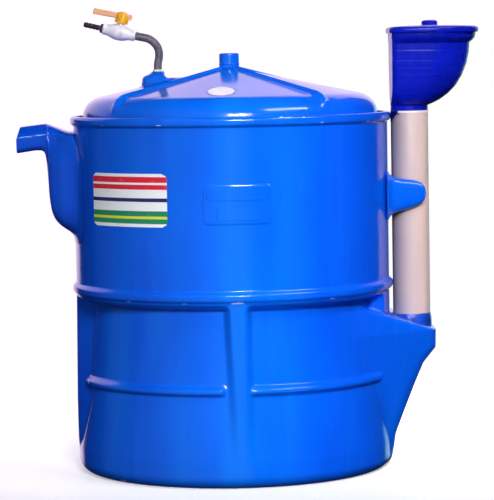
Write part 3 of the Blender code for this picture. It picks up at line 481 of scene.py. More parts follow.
ring_cream = moulded("ring_plastic", (0.80, 0.78, 0.52), (0.72, 0.70, 0.46), 0.4)
valve_white = moulded("valve_plastic", (0.90, 0.84, 0.90), (0.84, 0.77, 0.86), 0.30)
hub_amber = moulded("hub_plastic", (0.95, 0.47, 0.02), (0.90, 0.40, 0.015), 0.26)
lever_orange = moulded("lever_plastic", (0.88, 0.42, 0.20), (0.82, 0.36, 0.15), 0.36)
tail_black = moulded("tail_plastic", (0.02, 0.018, 0.02), (0.03, 0.028, 0.03), 0.34)
post_steel = moulded("post_steel", (0.45, 0.46, 0.47), (0.36, 0.37, 0.38), 0.45, 180.0, 0.0001, 30.0)


# Tank: the outside of the moulding as a radius by angle and height


def side_half(z):
    """Where the panels' right ends are, in degrees. Above the pocket's top they stop at a flank of the full wall."""
    share = smoothstep((z - POCKET_TOP_OUT - 0.035) / 0.016)
    return POCKET_HALF_LOW + (POCKET_HALF_HIGH - POCKET_HALF_LOW) * share


def panel_inside(t, z):
    """How far a place is inside a recessed panel, from 0 to 1."""
    inside = smoothstep((t - side_half(z)) / FLANK)
    lean = np.interp(z, *np.array(FRONT_LEAN).T) * (t > FRONT_AT)
    return inside * smoothstep((np.abs(t - FRONT_AT) - FRONT_HALF + lean) / FLANK)


def left_wedge(radius, t, z):
    """The wedge-shaped pilaster under the outlet, over the panels' radius. t is the angle from -X in degrees."""
    near = np.minimum(t, WEDGE_LEAN)
    turned_in = smoothstep(1.0 - (near - np.interp(z, *np.array(WEDGE_CREASE).T)) / 5.0)
    radius = radius - 0.005 * turned_in * smoothstep((z - 0.05) / 0.05) * smoothstep((0.50 - z) / 0.03)
    face = np.interp(z, *np.array(WEDGE_FACE).T) / np.cos(np.radians(near - WEDGE_LEAN))
    wedge = -blend_max(-WEDGE_SIDE / np.cos(np.radians(near)), -face, 0.010)
    return np.where(t < 60.0, blend_max(radius, wedge, 0.004), radius)


def lower_radius(t, z):
    """The lower wall's radius. t is the angle from +X in degrees, 0 to 180, alike at the front and the back."""
    depth = PANEL_SLOPE * np.maximum(0.0, z - PANEL_FOOT)
    depth = depth * (1.0 - smoothstep((z - LEDGE_LOW) / (LEDGE_HIGH - LEDGE_LOW)))
    radius = left_wedge(TANK_R - depth * panel_inside(t, z), 180.0 - t, z)
    a = np.radians(np.minimum(t, 60.0))
    face = np.interp(z, *np.array(POCKET_FACE).T)
    back = np.clip((z - POCKET_TOP_OUT) / (POCKET_TOP_IN - POCKET_TOP_OUT), 0.0, 2.0)
    end = face + (TANK_R - POCKET_FACE[-1][1]) * back * (z > POCKET_TOP_OUT)
    nx = math.cos(POCKET_SIDE_TILT)
    ny = math.sin(POCKET_SIDE_TILT)
    even = np.interp(z, *np.array((*POCKET_FACE[:5], POCKET_FACE[-1])).T)
    side = (nx * (even - 0.015) + ny * POCKET_FACE_HALF) / (nx * np.cos(a) + ny * np.sin(a))
    pocket = -blend_max(-end / np.cos(a), -side, 0.03)
    pocket = np.where((t < 60.0) & (end > TANK_R - 0.08), pocket, 0.0)
    radius = blend_max(radius, pocket, 0.020)
    ends = smoothstep((t - 20.4) / 1.6) * smoothstep((163.4 - t) / 1.6)
    ends = ends * smoothstep((np.abs(t - FRONT_AT) - FRONT_HALF - 1.2) / 2.4)
    rib = RIB_OUT * np.exp(-((np.abs(z - RIB_AT) / (RIB_HALF * 0.78)) ** 3.2))
    return radius + rib * ends


def band_out(z):
    share = np.clip(np.abs(z - BAND_MIDDLE) / BAND_HALF, 0.0, 1.3)
    return BAND_OUT * np.exp(-((share / 0.82) ** 4.0))


def base_radius(z):
    """How much the round edge of the base takes off the radius."""
    low = np.clip(BASE_ROUND - z, 0.0, BASE_ROUND)
    return BASE_ROUND - np.sqrt(np.maximum(BASE_ROUND**2 - low**2, 0.0))


def ring_rows(radius, angles, z):
    rows = np.empty((*radius.shape, 3))
    rows[..., 0] = radius * np.cos(angles)
    rows[..., 1] = radius * np.sin(angles)
    rows[..., 2] = z
    return rows


def lower_moulding():
    heights = uneven((
        (0.0, 0.0045, 6), (0.0045, 0.0375, 12), (0.0375, 0.24, 28), (0.24, 0.31, 28), (0.31, 0.395, 16),
        (0.395, 0.46, 22), (0.46, 0.52, 26), (0.52, BAND_MIDDLE, 14),
    ))
    fine = ((0.0, 40.0, 76), (40.0, 80.0, 24), (80.0, 97.0, 44), (97.0, 140.0, 26), (140.0, 180.0, 64))
    half = uneven(fine)
    degrees = np.concatenate([half, -half[-2:0:-1]])
    angles = np.radians(degrees)[None, :]
    t = np.abs(degrees)[None, :]
    z = heights[:, None]
    radius = lower_radius(t, np.maximum(z, 0.03)) + band_out(z) - base_radius(z)
    outer = ring_rows(radius, angles, z)
    inner_z = heights[::6][::-1]
    inner_z = inner_z[inner_z > BASE_ROUND][:, None]
    inner = lower_radius(t, inner_z) - WALL - 0.012 * (np.abs(inner_z - RIB_AT) < 0.02)
    floor = ring_rows(np.full((1, len(degrees)), TANK_R - BASE_ROUND), angles, 0.008)
    return skin("tank_lower_moulding", np.concatenate([outer, ring_rows(inner, angles, inner_z), floor]))


def upper_moulding():
    rise = rounded_profile((
        (TANK_R, 1.000, 0), (TANK_R, RIM_LOW - 0.003, 0.003), (TANK_R + RIM_OUT - 0.001, RIM_LOW + 0.003, 0.006),
        (TANK_R + RIM_OUT, RIM_LOW + 0.010, 0.004), (TANK_R + RIM_OUT - 0.0005, RIM_HIGH - 0.006, 0.006),
        (TANK_R + 0.004, RIM_HIGH, 0.006), (TANK_R - WALL, RIM_HIGH, 0.003), (TANK_R - WALL, 1.000, 0),
    ), 6)
    band = np.linspace(BAND_MIDDLE, 0.575, 26)
    wall = np.linspace(0.575, 1.000, 40)[1:-1]
    outside = np.concatenate([
        np.stack([TANK_R + band_out(band), band], axis=1),
        np.stack([np.full(len(wall), TANK_R), wall], axis=1),
    ])
    inside = np.array([(TANK_R - WALL, 0.8), (TANK_R - WALL, BAND_MIDDLE)])
    rows = turned_rows(np.concatenate([outside, rise, inside]), 480)
    return skin("tank_upper_moulding", rows, closed=True)


ready(lower_moulding(), "digester", tank_blue, (
    "tank_floor", "front_left_panel", "front_right_panel", "back_left_panel", "back_right_panel",
    "front_pilaster", "back_pilaster", "side_pilaster", "inlet_pocket", "front_left_rib", "front_right_rib",
    "back_left_rib", "back_right_rib",
))
ready(upper_moulding(), "digester", tank_blue, (
    "waist_band", "upper_wall_front", "upper_wall_right", "upper_wall_back", "upper_wall_left", "top_rim",
))


# Slurry outlet


OUTLET_KEYS = (
    (-0.4640, 0.672, -0.4640, 0.9960, 0.182, 6.0, 0.0),
    (-0.4665, 0.688, -0.4670, 0.9985, 0.164, 5.5, 0.0),
    (-0.4700, 0.6975, -0.4740, 1.0005, 0.150, 5.0, 0.0),
    (-0.4790, 0.7065, -0.4840, 1.0030, 0.136, 4.0, 0.05),
    (-0.4930, 0.7170, -0.4960, 1.0070, 0.124, 4.0, 0.15),
    (-0.5070, 0.7285, -0.5080, 1.0115, 0.112, 4.0, 0.3),
    (-0.5190, 0.7430, -0.5200, 1.0160, 0.103, 4.0, 0.45),
    (-0.5270, 0.7610, -0.5280, 1.0190, 0.095, 4.0, 0.6),
    (-0.5320, 0.7900, -0.5330, 1.0210, 0.087, 4.0, 0.75),
    (-0.5350, 0.8350, -0.5365, 1.0225, 0.078, 4.0, 0.9),
    (-0.5385, 0.8850, -0.5400, 1.0235, 0.069, 4.0, 1.0),
    (-0.5420, 0.9180, -0.5435, 1.0240, 0.0635, 4.0, 1.0),
    (-0.5470, 0.9370, -0.5480, 1.0236, 0.0605, 4.0, 1.0),
    (-0.5560, 0.9445, -0.5560, 1.0228, 0.0575, 4.0, 1.0),
    (-0.5700, 0.9450, -0.5690, 1.0213, 0.0545, 4.0, 1.0),
    (-0.5950, 0.9420, -0.5900, 1.0190, 0.0510, 4.0, 1.0),
    (-0.6280, 0.9375, -0.6180, 1.0155, 0.0480, 4.0, 1.0),
)
OUTLET_PULL = (
    (0.464, 0.31), (0.4665, 0.26), (0.470, 0.21), (0.479, 0.17), (0.493, 0.22), (0.507, 0.26), (0.519, 0.28),
    (0.527, 0.274), (0.532, 0.23), (0.535, 0.167), (0.5385, 0.07), (0.542, 0.016), (0.548, 0.0),
)


def outlet_rings(inset, stations, around):
    """Rings of the outlet. Each is a rounded box in section, and towards the spout its top gets two facets."""
    keys = eased(OUTLET_KEYS, stations, 5)
    a = np.linspace(0.0, math.tau, around, endpoint=False) + math.pi / around
    across = np.cos(a)[None, :]
    up = np.sin(a)[None, :]
    foot_x, foot_z, top_x, top_z, half, power, facet = (keys[:, i : i + 1] for i in range(7))
    tall = (top_z - foot_z) / 2.0 - inset
    wide = half - inset
    lean = math.radians(42.0)
    reach = np.where(facet > 0.0, wide * math.sin(lean) + (tall - 0.030) * math.cos(lean), 9.0)
    reach = reach + (1.0 - facet) * 0.2
    slope = np.maximum(np.abs(across) * math.sin(lean) + up * math.cos(lean), 0.0) / reach
    box = ((np.abs(across) / wide) ** power + (np.abs(up) / tall) ** power) ** (1.0 / power)
    radius = (box**12 + slope**12) ** (-1.0 / 12)
    rise = radius * up
    share = (rise + tall) / (2.0 * tall)
    x = foot_x + (top_x - foot_x) * np.clip((share - 0.55) / 0.45, 0.0, 1.0)
    pulled = np.interp(-x, *np.array(OUTLET_PULL).T) * smoothstep(((foot_z + top_z) / 2.0 + rise - 0.90) / 0.08)
    y = radius * across * (1.0 - pulled)
    follow = 1.0 - smoothstep((-x - 0.464) / 0.040)
    x = x + follow * (TANK_R - np.sqrt(np.maximum(TANK_R**2 - y**2, 0.0)))
    return np.stack([x, y, (foot_z + top_z) / 2.0 + rise], axis=-1)


def outlet():
    outer = outlet_rings(0.0, 84, 132)
    inner = outlet_rings(0.005, 84, 132)[::-1]
    return skin("slurry_outlet", np.concatenate([outer, inner])[:, ::-1], closed=True)


ready(outlet(), "digester", outlet_blue, ("outlet_channel", "outlet_spout"))


# Gas drum


def roof_height(r):
    """The cone, which turns down in a round shoulder onto the skirt."""
    fall = ROOF_APEX - ROOF_FALL * DRUM_R - SHOULDER_LOW
    out = np.clip((r - SHOULDER_IN) / (DRUM_R - SHOULDER_IN), 0.0, 1.0)
    return ROOF_APEX - ROOF_FALL * r - fall * (1.0 - (1.0 - out**SHOULDER_POWER) ** (1.0 / SHOULDER_POWER))


def roof_rise(r, z, degrees):
    """How far the four ribs stand out of the roof. They run over the shoulder and end above the rim."""
    made = np.zeros(np.broadcast(r, degrees).shape)
    for at in ROOF_RIB_ANGLES:
        turn = np.radians(degrees - at)
        wide = ROOF_RIB_WIDE + ROOF_RIB_SPREAD * r
        across = np.abs(r * np.sin(turn)) / (wide / 2.0)
        shape = np.exp(-((across / 0.62) ** 1.6)) * (np.cos(turn) > 0.0)
        fade = smoothstep((z - 1.052) / 0.036)
        made = np.maximum(made, shape * fade * (ROOF_RIB_HIGH + ROOF_RIB_GROWTH * (r / 0.4) ** 2))
    return made


def rib_angles():
    """Angles round the drum, close together at the ribs."""
    near = uneven(((-9.0, -4.5, 7), (-4.5, 4.5, 24), (4.5, 9.0, 7)))
    between = np.linspace(9.0, 81.0, 38)[1:-1]
    quarter = np.concatenate([near, between])
    return np.concatenate([quarter + at for at in ROOF_RIB_ANGLES])


def drum():
    degrees = rib_angles()[None, :]
    turn = np.radians(np.linspace(72.0, 90.0, 30))
    edge = SHOULDER_IN + (DRUM_R - SHOULDER_IN) * np.sin(turn)
    radii = uneven(((0.0275, 0.10, 16), (0.10, 0.36, 34), (0.36, 0.431, 44)))
    radii = np.concatenate([radii, edge[edge > 0.4312]])
    high = roof_height(radii)
    out = np.stack([-np.gradient(high), np.gradient(radii)], axis=1)
    out[-1] = (1.0, 0.0)
    out = out / np.linalg.norm(out, axis=1)[:, None]
    rise = roof_rise(radii[:, None], high[:, None], degrees)
    angles = np.radians(degrees)
    cone = ring_rows(radii[:, None] + out[:, :1] * rise, angles, high[:, None] + out[:, 1:] * rise)
    levels = (SHOULDER_LOW - 0.003, 0.9, 0.7, DRUM_FOOT + 0.004, DRUM_FOOT + 0.001)
    skirt = np.array([(DRUM_R, z) for z in levels] + [(DRUM_R - 0.002, DRUM_FOOT)])
    inside = np.array([(DRUM_R - DRUM_WALL, DRUM_FOOT), (DRUM_R - DRUM_WALL, SHOULDER_LOW)])
    under = np.array([
        (0.418, 1.076), (0.400, 1.088), (0.37, ROOF_APEX - ROOF_FALL * 0.37 - 0.006),
        (0.0275, ROOF_APEX - 0.0275 * ROOF_FALL - 0.006),
    ])
    shell = np.concatenate([skirt, inside, under])
    rest = ring_rows(np.repeat(shell[:, :1], degrees.shape[1], axis=1), angles, shell[:, 1:])
    return skin("drum_shell", np.concatenate([cone, rest])[:, ::-1], closed=True)


def cap():
    """The screwed cap of the sleeve, with a bead, a soft edge and a shallow dish in its top."""
    rows = rounded_profile((
        (0.0262, 1.1767, 0), (0.0295, 1.1767, 0.0008), (0.0295, 1.1875, 0.0006), (0.0312, 1.1895, 0.0010),
        (0.0295, 1.1920, 0.0008), (0.0290, 1.2200, 0.0030), (0.0235, 1.2218, 0.0010), (0.0215, 1.2195, 0.0010),
        (0.0010, 1.2195, 0),
    ), 4)
    return skin("sleeve_cap", turned_rows(rows, 72))


BOSS_AT = -0.210
BOSS_FOOT = 1.1330


def boss():
    """The moulded block under the hose: a rounded square that narrows to a nipple, with a long fillet to its right."""
    a = np.linspace(0.0, math.tau, 96, endpoint=False)
    keys = (
        (0.0000, 0.0590, 0.0900, 0.0470, 2.6), (0.0020, 0.0520, 0.0700, 0.0425, 2.8),
        (0.0060, 0.0490, 0.0520, 0.0400, 3.2), (0.0140, 0.0480, 0.0390, 0.0385, 3.6),
        (0.0220, 0.0470, 0.0280, 0.0370, 3.6), (0.0260, 0.0410, 0.0225, 0.0330, 3.2),
        (0.0300, 0.0290, 0.0200, 0.0270, 2.6), (0.0350, 0.0205, 0.0190, 0.0210, 2.2),
        (0.0380, 0.0175, 0.0185, 0.0180, 2.0),
    )
    rows = []
    for share, left, right, wide, power in eased(keys, 44):
        c = np.cos(a)
        s = np.sin(a)
        long = np.where(c > 0.0, right, left)
        radius = (np.abs(c / long) ** power + np.abs(s / wide) ** power) ** (-1.0 / power)
        x = BOSS_AT + radius * c
        y = radius * s
        cone = ROOF_APEX - ROOF_FALL * np.hypot(x, y) + 0.0002
        level = BOSS_FOOT + share
        settle = smoothstep(share / 0.03)
        high = np.maximum(cone + share * (1.0 - settle), level * settle + cone * (1.0 - settle))
        rows.append(np.stack([x, y, high], axis=-1))
    return skin("gas_outlet_boss", rows)


ready(drum(), "gas_holder", drum_blue, (
    "drum_skirt", "drum_roof", "roof_rib_front_left", "roof_rib_front_right", "roof_rib_back_right",
    "roof_rib_back_left",
))
ready(cap(), "gas_holder", drum_blue, ("guide_cap",))
ready(boss(), "gas_holder", drum_blue, ("gas_boss",))


# Hose, valve and lever

HOSE_ROUTE = (
    (-0.2100, 1.1690), (-0.2100, 1.1850), (-0.2085, 1.2000), (-0.2062, 1.2110), (-0.2055, 1.2230),
    (-0.2073, 1.2350), (-0.2120, 1.2460), (-0.2195, 1.2555), (-0.2295, 1.2635), (-0.2410, 1.2690),
    (-0.2620, 1.27355), (-0.2737, 1.27640),
)
VALVE_FROM = (-0.2740, 1.2765)
VALVE_RISE = math.radians(13.5)
VALVE_LONG = 0.0985


def valve_frame(turned=False, share=0.0):
    """Z along the bore to the outlet and X up the stem; or, turned, Z up the stem and X along the bore."""
    bore = Vector((-math.cos(VALVE_RISE), 0.0, math.sin(VALVE_RISE)))
    stem = Vector((math.sin(VALVE_RISE), 0.0, math.cos(VALVE_RISE)))
    axes = (bore, stem.cross(bore), stem) if turned else (stem, bore.cross(stem), bore)
    place = Matrix(axes).transposed().to_4x4()
    place.translation = Vector((VALVE_FROM[0], 0.0, VALVE_FROM[1])) + bore * VALVE_LONG * share
    return place


def hose():
    """The bent hose, with fine rings from its inner coil showing through the wall."""
    route = eased(HOSE_ROUTE, 150)
    ahead = np.gradient(route, axis=0)
    ahead = ahead / np.linalg.norm(ahead, axis=1)[:, None]
    out = np.stack([-ahead[:, 1], ahead[:, 0]], axis=1)
    a = np.linspace(0.0, math.tau, 40, endpoint=False)
    along = np.arange(len(route))
    radius = 0.0119 + 0.00018 * np.sin(along * math.tau / 5.0)
    rows = np.empty((len(route), len(a), 3))
    rows[..., 0] = route[:, :1] + radius[:, None] * np.cos(a) * out[:, :1]
    rows[..., 1] = radius[:, None] * np.sin(a)
    rows[..., 2] = route[:, 1:] + radius[:, None] * np.cos(a) * out[:, 1:]
    return skin("gas_outlet_hose", rows[:, ::-1])


def valve():
    end = VALVE_LONG
    half = (
        (0.0125, 0.0005, 0), (0.0150, 0.0000, 0.0008), (0.0168, 0.0014, 0.0008), (0.0168, 0.0060, 0.0004),
        (0.0160, 0.0068, 0.0003), (0.0160, 0.0080, 0.0003), (0.0166, 0.0090, 0.0004), (0.0168, 0.0175, 0.0030),
        (0.0205, 0.0270, 0.0060), (0.0240, 0.0385, 0.0080), (0.0240, 0.0470, 0.0010),
    )
    corners = [*half, *[(r, end - z, c) for r, z, c in reversed(half)]]
    rows = turned_rows(rounded_profile(corners, 4), 72)
    return placed(skin("ball_valve_body", rows), valve_frame())


def valve_neck():
    rows = turned_rows(rounded_profile((
        (0.0125, 0.0195, 0), (0.0125, 0.0225, 0.0006), (0.0118, 0.0232, 0.0004), (0.0118, 0.0258, 0.0004),
        (0.0040, 0.0259, 0),
    ), 3), 48)
    return placed(skin("ball_valve_neck", rows), valve_frame(True, 0.5))


def hub():
    """The amber boss of the lever: a low dome with a skirt."""
    rows = turned_rows(rounded_profile((
        (0.0040, 0.0262, 0), (0.0200, 0.0262, 0.0010), (0.0198, 0.0400, 0.0040), (0.0180, 0.0520, 0.0080),
        (0.0120, 0.0602, 0.0050), (0.0010, 0.0612, 0),
    ), 5), 64)
    return placed(skin("lever_boss", rows), valve_frame(True, 0.5))


def lever():
    """A flat bar with rounded edges, a shallow channel along its top, and a lip at the far end."""
    long = uneven(((-0.028, -0.024, 6), (-0.024, 0.081, 30), (0.081, 0.087, 8)))
    a = np.linspace(0.0, math.tau, 48, endpoint=False)
    rows = []
    for x in long:
        ends = max(0.0, (-0.0255 - x) / 0.0025, (x - 0.0845) / 0.0025)
        pull = 1.0 - 0.25 * ends**2
        wide = 0.0080 * pull
        tall = 0.0088 * pull
        radius = (np.abs(np.cos(a) / wide) ** 7 + np.abs(np.sin(a) / tall) ** 7) ** (-1.0 / 7)
        y = radius * np.cos(a)
        z = 0.0492 - 0.039 * (x + 0.028) + radius * np.sin(a)
        groove = 0.0022 * np.exp(-((y / 0.0040) ** 4)) * (np.sin(a) > 0.5) * (0.022 < x < 0.080)
        rows.append(np.stack([np.full(len(a), x), y, z - groove], axis=-1))
    return placed(skin("lever_bar", rows), valve_frame(True, 0.5))


def tail():
    """The barbed hose tail, with a flange against the valve and a bore at its tip."""
    foot = VALVE_LONG + 0.0003
    corners = [(0.0030, foot, 0), (0.0135, foot, 0.0005), (0.0135, foot + 0.0060, 0.0010), (0.0070, foot + 0.0085, 0.0010)]
    barb = (0.0567 - 0.014) / 4.0
    for i in range(4):
        z = foot + 0.012 + barb * i
        corners += [(0.0070, z, 0.0003), (0.0088, z + 0.0008, 0.0003), (0.0070, z + barb - 0.0015, 0.0005)]
    tip = VALVE_LONG + 0.057
    corners += [(0.0066, tip, 0.0004), (0.0035, tip, 0.0004), (0.0035, tip - 0.010, 0), (0.0005, tip - 0.010, 0)]
    return placed(skin("barbed_tail", turned_rows(rounded_profile(corners, 3), 48)), valve_frame())


def ring():
    rows = rounded_profile((
        (0.0127, 1.1708, 0), (0.0150, 1.1708, 0.0008), (0.0155, 1.1730, 0.0010), (0.0150, 1.1768, 0.0012),
        (0.0127, 1.1768, 0),
    ), 4)
    return skin("hose_collar", turned_rows(rows, 64, (BOSS_AT, 0.0)), closed=True)


ready(hose(), "gas_holder", hose_grey, ("gas_hose",))
ready(valve(), "gas_holder", valve_white, ("valve_body",))
ready(valve_neck(), "gas_holder", valve_white)
ready(tail(), "gas_holder", tail_black, ("hose_tail",))
ready(ring(), "gas_holder", ring_cream, ("hose_ring",))
ready(hub(), "lever", hub_amber, ("lever_hub",))
ready(lever(), "lever", lever_orange, ("valve_lever",))


# Inlet pipe, holder and hopper

HOPPER_CURVE = (
    (1.0593, 0.5835), (1.066, 0.600), (1.075, 0.618), (1.092, 0.642), (1.115, 0.665), (1.145, 0.684),
    (1.180, 0.698), (1.215, 0.7055), (1.240, 0.7075),
)
HOPPER_GROOVES = (1.115, 1.138, 1.154, 1.172, 1.193, 1.222)
HOPPER_WALL = 0.0035
HOPPER_FLAT = 0.4745
HOPPER_HALF = 0.118
HOPPER_OUT = 0.018
HOPPER_BACK = 0.0015
LID_BACK = 0.0085


def arc_points(centre, radius, start, end, count):
    a = np.radians(np.linspace(start, end, count))
    return np.stack([centre[0] + radius * np.cos(a), centre[1] + radius * np.sin(a)], axis=-1)


def d_loop(flat, reach, half, corner, z):
    """A D in plan: a flat side with rounded corners, and a round end out to reach. Its long sides swell a little."""
    near = flat + corner - 1e-4
    straight = np.linspace(0.0, 1.0, 10)[1:-1, None]
    end = arc_points((reach - half, 0.0), half, -90.0, 90.0, 60)
    back = arc_points((near, half - corner), corner, 90.0, 180.0, 14)
    front = arc_points((near, corner - half), corner, 180.0, 270.0, 14)
    parts = []
    for part, after in ((end, back), (back, front), (front, end)):
        parts += [part, part[-1] + (after[0] - part[-1]) * straight]
    plan = np.concatenate(parts)
    swell = np.clip((reach - half - plan[:, 0]) / (reach - half - flat), 0.0, 1.0)
    plan[:, 1] *= 1.0 - 0.065 * swell**2
    return np.concatenate([plan, np.full((len(plan), 1), z)], axis=1)


def hopper_section(z, inset=0.0):
    table = np.array(HOPPER_CURVE)
    reach = float(np.interp(z, table[:, 0], table[:, 1]))
    share = max(0.0, (reach - table[0, 1]) / (table[-1, 1] - table[0, 1]))
    half = PIPE_R + (HOPPER_HALF - PIPE_R) * share**0.9
    rise = float(smoothstep((z - table[0, 0]) / 0.05))
    flat = PIPE_AT - PIPE_R + (HOPPER_FLAT - PIPE_AT + PIPE_R) * rise
    corner = PIPE_R + (0.016 - PIPE_R) * float(smoothstep(share * 1.6))
    groove = sum(0.0005 * math.exp(-(((z - g) / 0.0018) ** 2)) for g in HOPPER_GROOVES) * min(1.0, share * 2.0)
    inset = inset + groove
    return d_loop(flat + inset * 0.3, reach - inset, half - inset, max(0.006, corner - inset), z)


def hopper_bowl():
    curve = eased(HOPPER_CURVE, 150)
    heights = curve[:, 0]
    outer = [hopper_section(z) for z in heights]
    inner = [hopper_section(z, HOPPER_WALL) for z in heights[::5]]
    return skin("hopper_bowl_shell", outer + inner[::-1], closed=True)


def d_rings(profile):
    """D loops for a profile of (spread beyond the bowl's top, spread of its flat side, z)."""
    return [
        d_loop(HOPPER_FLAT - back, HOPPER_CURVE[-1][1] + out, HOPPER_HALF + out, max(0.006, 0.016 + out), z)
        for out, back, z in profile
    ]


def rounded_levels(corners, steps=5):
    """Rounds the corners of a (spread, z) profile and adds the spread of the flat side to each level."""
    made = rounded_profile(corners, steps)
    return [(out, min(out, out * HOPPER_BACK / HOPPER_OUT) if out > 0 else out, z) for out, z in made]


def hopper_rim():
    out = HOPPER_OUT
    wall = HOPPER_WALL
    levels = rounded_levels((
        (0.0, 1.2402, 0), (0.0010, 1.2425, 0.0015), (0.0090, 1.2480, 0.0060), (out - 0.0005, 1.2590, 0.0060),
        (out, 1.2710, 0.0008), (out - wall, 1.2710, 0.0008), (out - wall, 1.2560, 0.0040), (0.0060, 1.2475, 0.0030),
        (-wall, 1.2440, 0.0010), (-wall, 1.2403, 0),
    ))
    return skin("hopper_rim_flange", d_rings(levels), closed=True)


def hopper_lid():
    """The lid: a rolled edge, a soft shoulder and a crown that rises a little towards the knob."""
    out = HOPPER_OUT + 0.0085
    inner = out - 0.018
    profile = rounded_profile((
        (-0.100, 1.2858, 0), (inner, 1.2855, 0.0030), (inner, 1.2713, 0.0006), (out - 0.002, 1.2713, 0.0008),
        (out, 1.2760, 0.0050), (out - 0.0010, 1.2860, 0.0060), (out - 0.0080, 1.2890, 0.0040),
        (-0.0040, 1.2905, 0.0100), (-0.040, 1.2922, 0.0200), (-0.100, 1.2930, 0),
    ), 6)
    levels = [(spread, LID_BACK + spread - out, z) for spread, z in profile]
    return skin("hopper_lid_shell", d_rings(levels)[::-1])


def knob():
    """A low cup-shaped handle with a waist just above the lid."""
    rows = rounded_profile((
        (0.0300, 1.2920, 0), (0.0250, 1.2935, 0.0030), (0.0225, 1.2960, 0.0020), (0.0235, 1.2990, 0.0020),
        (0.0240, 1.3030, 0.0030), (0.0200, 1.3072, 0.0040), (0.0120, 1.3082, 0.0030), (0.0005, 1.3076, 0),
    ), 5)
    return skin("lid_handle", turned_rows(rows, 64, (0.5905, 0.0)))


def neck():
    bore = PIPE_R - 0.0065
    rows = rounded_profile((
        (0.0512, 1.012, 0), (0.0512, 1.0443, 0), (PIPE_R - 0.0004, 1.0443, 0.0008), (PIPE_R, 1.0475, 0.0015),
        (PIPE_R - 0.0006, 1.0560, 0.0015), (PIPE_R, 1.0590, 0.0006), (bore, 1.0590, 0), (bore, 1.012, 0),
    ), 4)
    return skin("hopper_neck_ring", turned_rows(rows, 96, (PIPE_AT, 0.0)), closed=True)


def pipe():
    bore = PIPE_R - PIPE_WALL
    rows = rounded_profile((
        (bore, PIPE_FOOT, 0), (PIPE_R, PIPE_FOOT, 0.0008), (PIPE_R, 0.6, 0), (PIPE_R, 0.85, 0),
        (PIPE_R, PIPE_TOP, 0.0012), (bore, PIPE_TOP, 0),
    ), 3)
    return skin("inlet_pipe_wall", turned_rows(rows, 128, (PIPE_AT, 0.0)), closed=True)


def pipe_lip():
    """The bright cut end of the pipe under the hopper's neck."""
    rows = rounded_profile((
        (PIPE_R + 0.0001, 1.0375, 0), (PIPE_R + 0.0010, 1.0378, 0.0004), (PIPE_R + 0.0010, 1.0436, 0.0005),
        (PIPE_R + 0.0001, 1.0438, 0),
    ), 3)
    return skin("pipe_end_band", turned_rows(rows, 128, (PIPE_AT, 0.0)), closed=True)


def collar():
    """The ragged collar of sealant where the pipe enters the pocket."""
    a = np.linspace(0.0, math.tau, 180, endpoint=False)
    rng = np.random.default_rng(7)
    ragged = sum(np.sin(a * k + rng.uniform(0, math.tau)) / k**0.8 for k in (3, 5, 8, 13, 21, 34))
    rows = []
    for t in np.linspace(0.0, 1.0, 14):
        out = PIPE_R + 0.0003 + 0.0034 * (1.0 - t**3) * (1.0 + 0.10 * np.sin(a * 17 + t * 5))
        x = PIPE_AT + out * np.cos(a)
        y = out * np.sin(a)
        low = POCKET_TOP_OUT + (0.595 - np.hypot(x, y)) * 0.3623 + 0.0003
        high = 0.4462 + 0.0012 * ragged
        rows.append(np.stack([x, y, low + (high - low) * t], axis=-1))
    inner = rows[-1].copy()
    inner[:, 0] = PIPE_AT + (PIPE_R + 0.0002) * np.cos(a)
    inner[:, 1] = (PIPE_R + 0.0002) * np.sin(a)
    foot = inner.copy()
    foot[:, 2] = rows[0][:, 2]
    return skin("pipe_foot_sealant", [*rows, inner, foot], closed=True)


def holder_arm(side):
    """One arm of the moulded lug. It flares where it leaves the wall and is rounded at its tip."""
    keys = (
        (0.4530, 0.0760, 0.0560, 0.798), (0.4580, 0.0720, 0.0520, 0.798), (0.4620, 0.0650, 0.0450, 0.798),
        (0.4690, 0.0565, 0.0350, 0.798), (0.4790, 0.0520, 0.0290, 0.799), (0.4975, 0.0468, 0.0230, 0.800),
        (0.5227, 0.0410, 0.0185, 0.8015), (0.5423, 0.0358, 0.0160, 0.803), (0.5540, 0.0305, 0.0150, 0.8035),
        (0.5620, 0.0240, 0.0130, 0.804), (0.5670, 0.0165, 0.0100, 0.804), (0.5695, 0.0070, 0.0040, 0.804),
    )
    a = np.linspace(0.0, math.tau, 64, endpoint=False)
    inside = PIPE_R + 0.0003
    rows = []
    for x, tall, wide, z in eased(keys, 54):
        power = 3.2
        radius = (np.abs(np.cos(a) / wide) ** power + np.abs(np.sin(a) / tall) ** power) ** (-1.0 / power)
        y = inside + 0.0140 + radius * np.cos(a)
        rows.append(np.stack([np.full(len(a), x), side * np.maximum(y, inside * 0.96), z + radius * np.sin(a)], axis=-1))
    rows = np.array(rows)
    return skin("pipe_lug_" + ("back" if side > 0 else "front"), rows if side > 0 else rows[:, ::-1])


ready(pipe(), "digester", pipe_grey, ("inlet_pipe",))
ready(pipe_lip(), "digester", pipe_white)
ready(collar(), "digester", sealant_blue, ("pocket_collar",))
ready(holder_arm(-1.0), "digester", tank_blue, ("pipe_holder",))
ready(holder_arm(1.0), "digester", tank_blue)
ready(neck(), "digester", hopper_blue, ("hopper_neck",))
ready(hopper_bowl(), "digester", hopper_blue, ("hopper_bowl",))
ready(hopper_rim(), "digester", hopper_blue, ("hopper_rim",))
ready(hopper_lid(), "lid", hopper_blue, ("hopper_lid",))
ready(knob(), "lid", hopper_blue, ("lid_knob",))


# Labels, plaque and runs of paint


